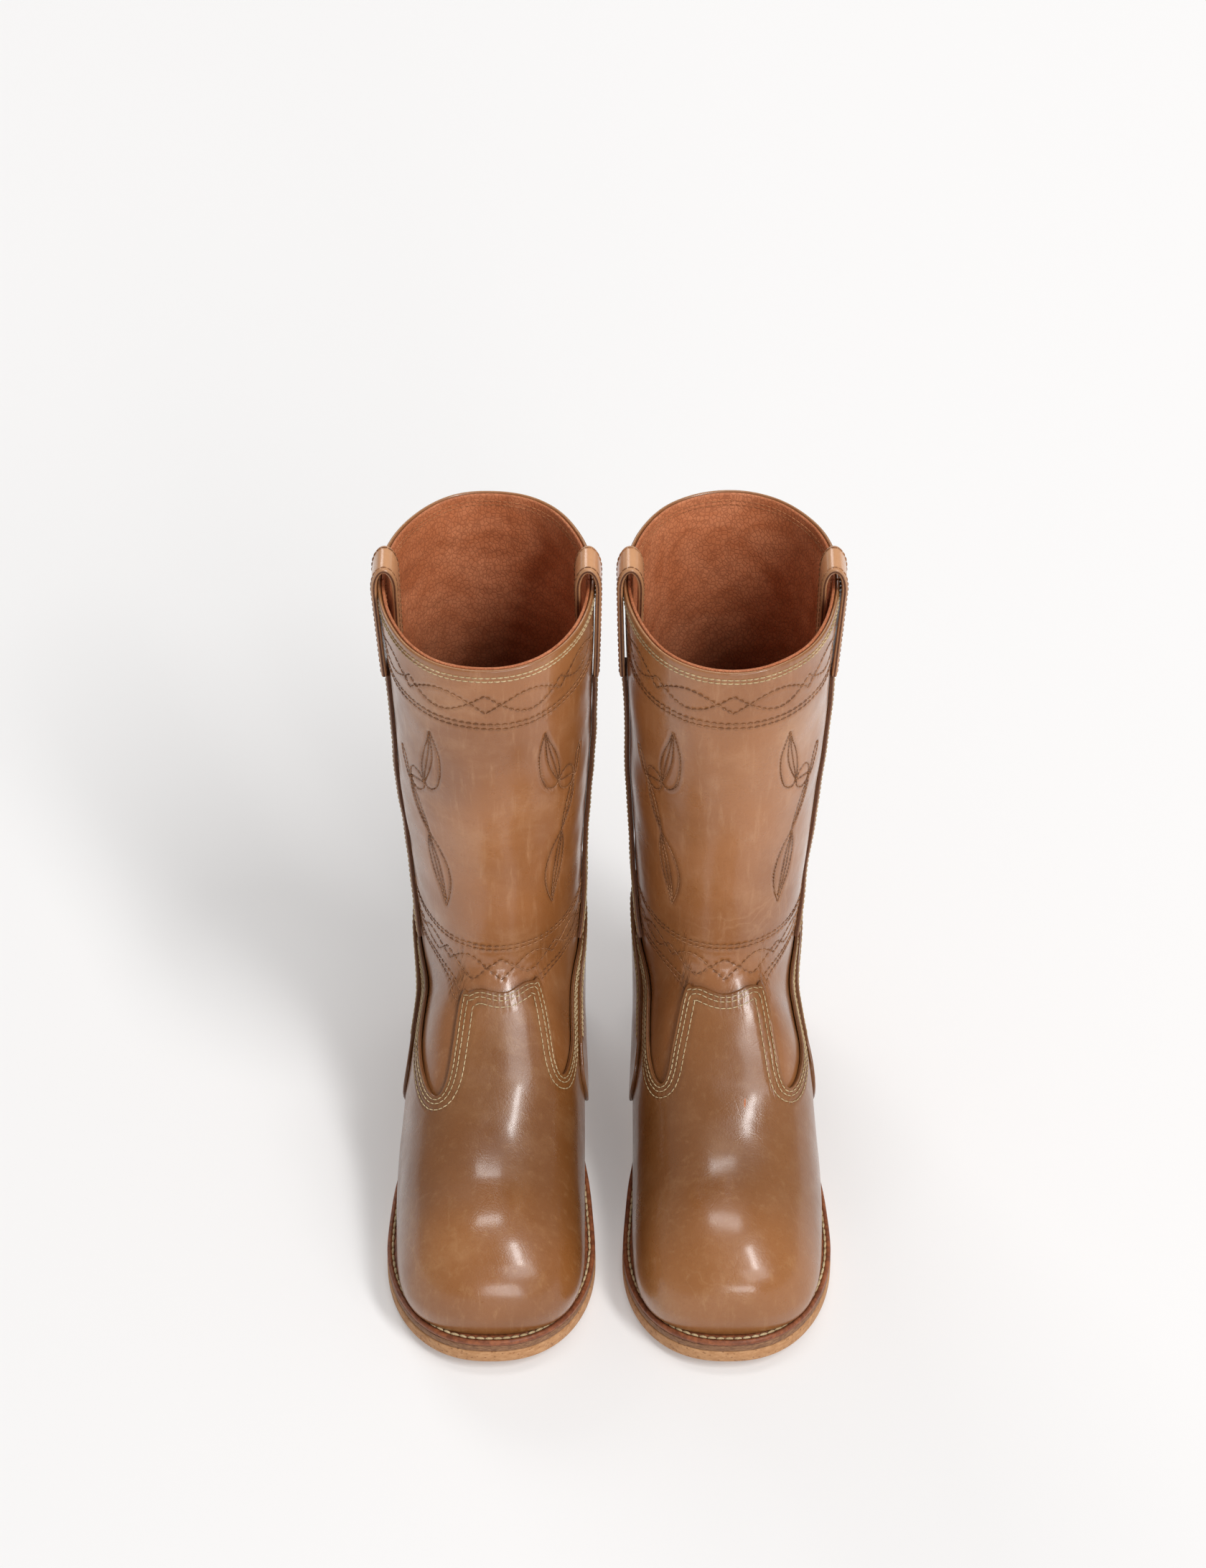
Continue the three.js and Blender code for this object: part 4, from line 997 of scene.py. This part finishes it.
def build_shaft(boot):
    skin = boot.skin
    decoration = {"front": ornament(Chart(skin, 0)), "back": ornament(Chart(skin, 180))}
    spots = {side: np.concatenate([run[0] for run in runs])
             for side, runs in decoration.items()}
    for side, runs in decoration.items():
        lifted = [(c + n * 0.06, d, n, p) for c, d, n, p in runs]
        thread_piece(boot, f"shaft_{side}_ornament", lifted, *ORNAMENT_THREAD)
    vamp = vamp_top(boot)

    def under_vamp(angle):
        return vamp(angle) - VAMP_OVERLAP

    def lining_bottom(angle):
        return np.minimum(vamp_edge(folded(angle)) - VAMP_OVERLAP, 1)

    rim = steady(1.0)
    # the last argument of both shaft sheets paints shade that darkens the shaft towards the
    # ankle
    sheet(boot, "shaft_front", FRONT_SPAN, under_vamp, rim, steady(-LEATHER), steady(0),
          [UPPER, RIM_EDGE], 0.85, spots["front"], 0.25, shaft_painted_shade)
    sheet(boot, "shaft_back", BACK_SPAN, steady(0.0), rim, steady(-LEATHER), steady(0),
          [UPPER, RIM_EDGE], 1.0, spots["back"], 0.25, shaft_painted_shade)
    rim_angles = np.arange(-180, 180.5, 0.75)
    inside = -LEATHER - GAP - LINING
    rows = (("rim_thread", THREAD_OUT, 1, RIM_THREAD),
            ("rim_lining_thread", inside - THREAD_OUT, -1, RIM_LINING_THREAD))
    for name, out, flip, kind in rows:
        runs = []
        for inset in RIM_ROWS:
            level = skin.level_at(BOOT_HEIGHT - inset, rim_angles)
            normal = skin.read(level, rim_angles)[1]
            line = skin.at(level, rim_angles, np.full(len(level), out))
            runs.append(evenly(line, normal * flip, 3.0))
        thread_piece(boot, name, runs, *kind)
    wrinkles = ripples(boot.seed + 7, ((26, 0.12), (11, 0.09), (6, 0.06)))
    outer, inner = steady(-LEATHER - GAP), steady(inside)
    crumpled_sheet(boot, "shaft_lining_front", FRONT_SPAN, lining_bottom, rim, inner, outer,
                   wrinkles)
    crumpled_sheet(boot, "shaft_lining_back", BACK_SPAN, steady(0.0), rim, inner, outer,
                   wrinkles)


def crumpled_sheet(boot, name, span, bottom, top, inner, outer, wrinkles):
    """The lining, wrinkled on its inner face, with painted shade darkening it deeper down inside
    the shaft.
    """
    width = abs(span[1] - span[0]) * MM_A_DEGREE
    across = eased(width, 130, 0.6)
    angles = span[0] + (span[1] - span[0]) * across
    low, high = bottom(angles), top(angles)
    tall = 270
    rise = eased(tall, 210, 0.6)[:, None]
    level = low + (high - low) * rise
    angle = np.broadcast_to(angles, level.shape)
    edge = np.minimum(rise, 1 - rise) * tall
    drop = rounding(edge, 0.6) * np.ones(level.shape)
    face = boot.skin.at(level, angle, outer(level, angle) - drop)
    normal = boot.skin.read(level, angle)[1]
    back = boot.skin.at(level, angle, inner(level, angle) + drop)
    back = back - normal * (wrinkles(back) * np.clip(edge / 12, 0.15, 1))[..., None]
    # painted shade: the lining darkens further down inside the shaft, where less light reaches
    deep = np.clip((312 - back[..., 2]) / 110, 0, 1)
    tone = np.maximum(np.exp(-edge / 1.2) * 0.15, 0.75 * smooth(deep))
    boot.panel(name, face, back, tone, [LINING_LOOK], "lining_leather")


def vamp_burnish(points):
    """Wax rubbed in darker over the instep than on the toe."""
    s = points[..., 1]
    instep = np.clip((s - 120) / 60, 0, 1) * np.clip((252 - s) / 50, 0, 1)
    return 0.36 * smooth(instep)


def shaft_painted_shade(points):
    """Painted shade: the shaft's colour darkens towards the ankle."""
    low = np.clip((170 - points[..., 2]) / 80, 0, 1)
    return 0.22 * low


def build_vamp(boot):
    angles = np.arange(-VAMP_SIDE + 1.0, VAMP_SIDE - 0.5, 0.5)
    top = vamp_top(boot)
    out = VAMP_OUT + LEATHER + THREAD_OUT
    runs = [evenly(*edge_line(boot, top, angles, inset, out), SEAM_PITCH)
            for inset in EDGE_ROWS]
    spots = np.concatenate([run[0] for run in runs])
    sheet(boot, "vamp", (-VAMP_SIDE, VAMP_SIDE), steady(0.0), top, steady(VAMP_OUT),
          steady(VAMP_OUT + LEATHER), [UPPER_WARM, DARK_EDGE], 1.0, spots, 0.45, vamp_burnish)
    thread_piece(boot, "vamp_thread", runs, *SEAM_THREAD)


def counter_depth(level, angle):
    """The counter rides over the vamp's ends and settles onto the shaft behind them."""
    away = smooth(np.clip((folded(angle) - 112) / 22, 0, 1))
    edge = counter_edge(folded(angle))
    near_top = np.clip(1 - (edge - level) / 0.05, 0, 1)
    return mix(2.42, mix(2.0, 0.7, near_top), away)


def build_counter(boot):
    def low(angle):
        return counter_foot(folded(angle))

    def high(angle):
        return counter_edge(folded(angle))

    def outer(level, angle):
        return counter_depth(level, angle) + LEATHER

    def thread_out(level, angle):
        return outer(level, angle) + THREAD_OUT

    span = (COUNTER_FRONT, 360 - COUNTER_FRONT)
    angles = np.arange(COUNTER_FRONT + 1.0, 360 - COUNTER_FRONT - 0.9, 0.5)
    runs = [evenly(*edge_line(boot, high, angles, inset, thread_out), SEAM_PITCH)
            for inset in COUNTER_ROWS]
    sheet(boot, "counter", span, low, high, counter_depth, outer, [UPPER_WARM, DARK_EDGE],
          1.2, np.concatenate([run[0] for run in runs]), 0.45)
    thread_piece(boot, "counter_thread", runs, *SEAM_THREAD)


def build_strip(boot, side, name):
    """A raised leather strip over a side seam, stitched down both edges."""
    foot, head = STRIP_HEIGHTS
    tall = head - foot
    low, high = boot.skin.level_at(np.array(STRIP_HEIGHTS), np.array([side, side]))
    rise = eased(tall, 150, 0.9)
    level = (low + (high - low) * rise)[:, None]
    reach = (front_along(level) - back_along(level)) / 2
    half = np.degrees(STRIP_HALF_WIDTH / reach)
    across = 2 * eased(2 * STRIP_HALF_WIDTH, 14, 0.8) - 1
    angle = side + np.sign(side) * half * across[None, :]
    level = np.broadcast_to(level, angle.shape)
    edge = np.minimum((1 - np.abs(across))[None, :] * STRIP_HALF_WIDTH,
                      (np.minimum(rise, 1 - rise) * tall)[:, None])
    drop = rounding(edge, 0.7)
    face = boot.skin.at(level, angle, GAP + STRIP_THICKNESS - drop)
    back = boot.skin.at(level, angle, GAP + drop * 0.5)
    if side < 0:
        face, back = face[:, ::-1], back[:, ::-1]
    tone = 0.55 * np.exp(-edge / 1.2)
    boot.panel(f"side_strip_{name}", face, back, tone, [STRIP, DARK_EDGE], "strap_leather")
    runs = []
    for sign in (-1, 1):
        place = np.linspace(0.012, 0.988, 160)
        levels = low + (high - low) * place
        turn = np.degrees((STRIP_HALF_WIDTH - 1.8)
                          / ((front_along(levels) - back_along(levels)) / 2))
        points, normals = boot.skin.read(levels, side + sign * turn)
        runs.append(evenly(points + normals * (GAP + STRIP_THICKNESS + THREAD_OUT), normals,
                           STRAP_PITCH))
    thread_piece(boot, f"side_strip_{name}_thread", runs, *SEAM_THREAD)


def build_strap(boot, side, name):
    """A pull strap: a loop of doubled leather over the rim."""
    sign = math.copysign(1, side)
    leg_bottom, inner_bottom, rise = 284.5, 290.0, 13.0
    off_wall, off_lining, lean_in = 0.15, 1.0, 2

    def wall(z):
        return sign * shaft_centre(z) + shaft_half_width(z)

    def outside(z):
        return wall(z) + GAP + off_wall

    def inside(z):
        up_leg = np.clip((z - inner_bottom) / (BOOT_HEIGHT - inner_bottom), 0, 1)
        return wall(z) - LEATHER - 2 * GAP - LINING - off_lining - lean_in * up_leg

    top = BOOT_HEIGHT + 2
    centre = (outside(top) + inside(top)) / 2
    radius = (outside(top) - inside(top)) / 2 + STRAP_THICKNESS / 2
    up = np.linspace(leg_bottom, top, 60)
    turn = np.linspace(0, math.pi, 40)[1:-1]
    down = np.linspace(top, inner_bottom, 54)
    half = STRAP_THICKNESS / 2
    path = np.concatenate([
        np.stack([outside(up) + half, up], 1),
        np.stack([centre + radius * np.cos(turn), top + (rise - half) * np.sin(turn)], 1),
        np.stack([inside(down) - half, down], 1)])
    run = run_along(path)
    steps = 190
    place = eased(run[-1], steps, 1.0) * run[-1]
    line = np.stack([np.interp(place, run, path[:, k]) for k in range(2)], 1)
    ahead = unit(np.gradient(line, axis=0))
    outward = np.stack([ahead[:, 1], -ahead[:, 0]], 1)
    across = 2 * eased(STRAP_WIDTH, 16, 0.8) - 1
    edge = np.minimum((1 - np.abs(across))[None, :] * STRAP_WIDTH / 2,
                      np.minimum(place, run[-1] - place)[:, None])
    thick = half - rounding(edge, 0.85)
    s_middle = (shaft_front(leg_bottom) + shaft_back(leg_bottom)) / 2

    def lay(out):
        flat = line[:, None] + outward[:, None] * out[..., None]
        s = s_middle - sign * across[None, :] * STRAP_WIDTH / 2
        return np.stack([sign * flat[..., 0], np.broadcast_to(s, out.shape), flat[..., 1]], -1)

    body = f"{boot.name}_strap_{name}"
    boot.panel(f"pull_strap_{name}", lay(thick), lay(-thick), 0.5 * np.exp(-edge),
               [STRAP, DARK_EDGE], "strap_leather", body)
    runs = []
    for shift in (-1, 1):
        keep = np.arange(3, steps - 3)
        s = np.full(len(keep), s_middle + shift * (STRAP_WIDTH / 2 - 1.9))
        flat = line[keep] + outward[keep] * (half + 0.03)
        normals = np.stack([sign * outward[keep, 0], 0 * s, outward[keep, 1]], 1)
        points = np.stack([sign * flat[:, 0], s, flat[:, 1]], 1)
        runs.append(evenly(points, normals, STRAP_PITCH))
    thread_piece(boot, f"pull_strap_{name}_thread", runs, *STRAP_THREAD, body)


# ---- bottom
def sole_rings(rows, count=400):
    """Points round the sole's outline, one ring for each (inset, height, share of width)."""
    turn = 2 * math.pi * np.arange(count) / count
    found = []
    for inset, height, share in rows:
        s = inset + (SOLE_LENGTH - 2 * inset) * (1 - np.cos(turn)) / 2
        x = centre_line(s) - np.sign(np.sin(turn)) * outline_half_width(s, inset) * share
        found.append(np.stack([x, s, sole_under(s) + height], 1))
    return np.array(found)


def layer_rows(inset, low, high, radius):
    """Cross-section of a flat layer with rounded edges, closed to its middle."""
    return ([(inset + radius, low, share) for share in (0, 0.3, 0.6, 0.85)]
            + [(inset + radius, low, 1), (inset + 0.3 * radius, low + 0.3 * radius, 1),
               (inset, low + radius, 1), (inset, (low + high) / 2, 1),
               (inset, high - radius, 1), (inset + 0.3 * radius, high - 0.3 * radius, 1),
               (inset + radius, high, 1)]
            + [(inset + radius, high, share) for share in (0.85, 0.6, 0.3, 0)])


def build_bottom(boot):
    boot.ringed("outsole", sole_rings(layer_rows(0.3, 0, OUTSOLE, 0.9)), OUTSOLE_LOOK,
                "crepe_outsole")
    base = OUTSOLE + GAP
    boot.ringed("midsole", sole_rings(layer_rows(0.7, base - 0.2, base + MIDSOLE, 0.6)),
                MIDSOLE_LOOK, "midsole_leather")
    base += MIDSOLE + GAP
    top = base + WELT
    rows = [(16, base, 1), (8, base - 0.2, 1), (1.0, base - 0.2, 1), (0.5, base + 0.5, 1),
            (0.45, base + 1.6, 1), (0.8, top - 0.35, 1), (1.5, top + 0.02, 1), (2.0, top, 1),
            (2.5, top - 0.25, 1), (3.0, top - 0.75, 1), (3.7, top - 0.75, 1),
            (4.2, top - 0.25, 1), (4.8, top, 1), (5.4, top + 0.02, 1), (8, top, 1),
            (16, top, 1), (16, base, 1)]
    boot.ringed("welt", sole_rings(rows), WELT_LOOK, "welt_leather")
    turn = np.linspace(0, 2 * math.pi, 900)
    inset, seam_start = 3.35, 128
    s = inset + (SOLE_LENGTH - 2 * inset) * (1 - np.cos(turn)) / 2
    x = centre_line(s) - np.sign(np.sin(turn)) * outline_half_width(s, inset)
    line = np.stack([x, s, sole_under(s) + top - 0.15], 1)[np.where(s > seam_start)[0]]
    up = np.tile([0.0, 0.0, 1.0], (len(line), 1))
    thread_piece(boot, "welt_thread", [evenly(line, up, 4.3)], *WELT_THREAD,
                 replaces=["welt_thread"])
    base = SOLE_THICKNESS + GAP + INSOLE + GAP
    boot.ringed("sock_liner", sole_rings(layer_rows(16.5, base, base + SOCK, 0.5)),
                LINING_LOOK, "lining_leather")


def heel_rings(rows, count=111):
    """Points round the heel block: a straight breast in front and the seat's curve behind."""
    found = []
    t = np.linspace(0, 1, count)
    for inset, height, share in rows:
        breast = HEEL_BREAST - inset
        s = breast - (breast - inset) * np.sin(t * math.pi / 2)
        side = outline_half_width(s, inset) * share
        one = np.stack([centre_line(s) + side, s], 1)
        other = np.stack([centre_line(s) - side, s], 1)[::-1]
        ring = np.concatenate([one[:-1], other])
        z = height(ring[:, 1]) if callable(height) else np.full(len(ring), height)
        found.append(np.column_stack([ring, z]))
    return np.array(found)


def heel_slab(boot, name, inset_low, inset_high, low, high, material, slot, radius=0.5):
    rows = [(inset_low + radius, low, share) for share in (0, 0.4, 0.8)]
    rows += [(inset_low + radius, low, 1), (inset_low, low + radius, 1)]
    if callable(high):
        rows += [(inset_high, lambda s: high(s) - radius, 1), (inset_high + radius, high, 1)]
    else:
        rows += [(mix(inset_low, inset_high, 0.5), (low + high) / 2, 1),
                 (inset_high, high - radius, 1), (inset_high + radius, high, 1)]
    rows += [(inset_high + radius, high, share) for share in (0.8, 0.4, 0)]
    boot.ringed(name, heel_rings(rows), material, slot)


def build_heel(boot):
    def inset(z):
        return 1 + 2.5 * (1 - z / HEEL_HEIGHT)

    def ceiling(s):
        return sole_under(s) - 0.1

    for name, material, slot in (("heel_top_piece", RUBBER, "heel_rubber"),
                                 ("heel_lift_1", HEEL_LOOK, "heel_leather"),
                                 ("heel_lift_2", HEEL_LOOK, "heel_leather")):
        low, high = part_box(f"{boot.name}_{name}")
        bottom, top = low.z / MM, high.z / MM
        heel_slab(boot, name, inset(bottom), inset(top), bottom, top, material, slot)
    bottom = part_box(f"{boot.name}_heel_lift_3")[0].z / MM
    heel_slab(boot, "heel_lift_3", inset(bottom), 1.0, bottom, ceiling, HEEL_LOOK,
              "heel_leather", 0.4)


LEFT_AS_PACKED = {"insole_board": INSOLE_LOOK, "cork_filler": CORK, "shank": STEEL_LOOK,
                  "vamp_lining": LINING_LOOK, "toe_puff": BOARD, "counter_stiffener": BOARD,
                  "heel_nail_1": STEEL_LOOK, "heel_nail_2": STEEL_LOOK,
                  "heel_nail_3": STEEL_LOOK, "heel_nail_4": STEEL_LOOK}

for boot_name, boot_side, boot_seed, boot_twist in (("right", -1, 11, 7), ("left", 1, 23, 1)):
    boot = Boot(boot_name, boot_side, boot_seed, boot_twist)
    build_shaft(boot)
    build_vamp(boot)
    build_counter(boot)
    for strip_side, strip_name in ((90, "medial"), (-90, "lateral")):
        build_strip(boot, strip_side, strip_name)
        build_strap(boot, strip_side, strip_name)
    build_bottom(boot)
    build_heel(boot)
    for node, material in LEFT_AS_PACKED.items():
        for slot_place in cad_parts[f"{boot_name}_{node}"].material_slots:
            slot_place.link = "OBJECT"
            slot_place.material = material


# ---- floor, light and camera
def floor():
    mesh = bpy.data.meshes.new("floor")
    size = 6.0
    mesh.from_pydata([(-size, -size, 0), (size, -size, 0), (size, size, 0), (-size, size, 0)],
                     [], [(0, 1, 2, 3)])
    ground = bpy.data.objects.new("floor", mesh)
    bpy.context.scene.collection.objects.link(ground)
    paint = Paint("floor")
    shade = paint.noise(0.8, 2, 0.5)
    white = paint.blend(shade, (0.69, 0.682, 0.678, 1), (0.705, 0.697, 0.693, 1))
    paint.finish(white, 0.9, Specular_IOR_Level=0.1)
    paint.shader.inputs["Emission Color"].default_value = (0.93, 0.92, 0.915, 1)
    apart = paint.node("ShaderNodeSeparateXYZ", Vector=paint.place)
    glow = paint.spread(apart.outputs["Y"], -1.2, 2.8, 0.17, 0.31)
    paint.feed(paint.shader.inputs["Emission Strength"], glow)
    mesh.materials.append(paint.material)


def soft_light(name, place, target, size, power):
    data = bpy.data.lights.new(name, "AREA")
    data.shape = "RECTANGLE"
    data.size, data.size_y = size
    data.energy = power
    lamp = bpy.data.objects.new(name, data)
    lamp.location = place
    lamp.rotation_euler = (Vector(target) - Vector(place)).to_track_quat("-Z", "Y").to_euler()
    bpy.context.scene.collection.objects.link(lamp)


floor()
world = bpy.data.worlds.new("studio")
world.use_nodes = True
world.node_tree.nodes["Background"].inputs["Color"].default_value = (1, 0.995, 0.99, 1)
world.node_tree.nodes["Background"].inputs["Strength"].default_value = 0.34
bpy.context.scene.world = world
soft_light("key", (2.6, -2.4, 5.3), (1.9, -0.2, 0.1), (0.75, 3.4), 205)
soft_light("overhead", (0.0, 0.9, 5.9), (0, -0.1, 0.1), (2.0, 0.7), 48)
soft_light("front", (3.0, -4.6, 3.9), (0, -0.1, 0.1), (3.8, 2.4), 110)
soft_light("low_front", (1.0, -4.8, 1.1), (0, -0.1, 0.05), (1.7, 0.9), 42)
soft_light("behind", (-2.2, 4.6, 3.6), (0, 0.1, 0.1), (2.4, 1.6), 60)

CAMERA_TILT = math.radians(44)
CAMERA_DISTANCE = 2.56
CAMERA_TARGET = Vector((-0.003, 0.278, 0))
camera_data = bpy.data.cameras.new("camera")
camera_data.lens = 105
camera_data.sensor_width = 36
camera = bpy.data.objects.new("camera", camera_data)
camera.location = CAMERA_TARGET + Vector((0, -math.cos(CAMERA_TILT),
                                          math.sin(CAMERA_TILT))) * CAMERA_DISTANCE
camera.rotation_euler = (math.pi / 2 - CAMERA_TILT, 0, 0)
bpy.context.scene.collection.objects.link(camera)
bpy.context.scene.camera = camera
bpy.context.scene.view_settings.view_transform = "Standard"
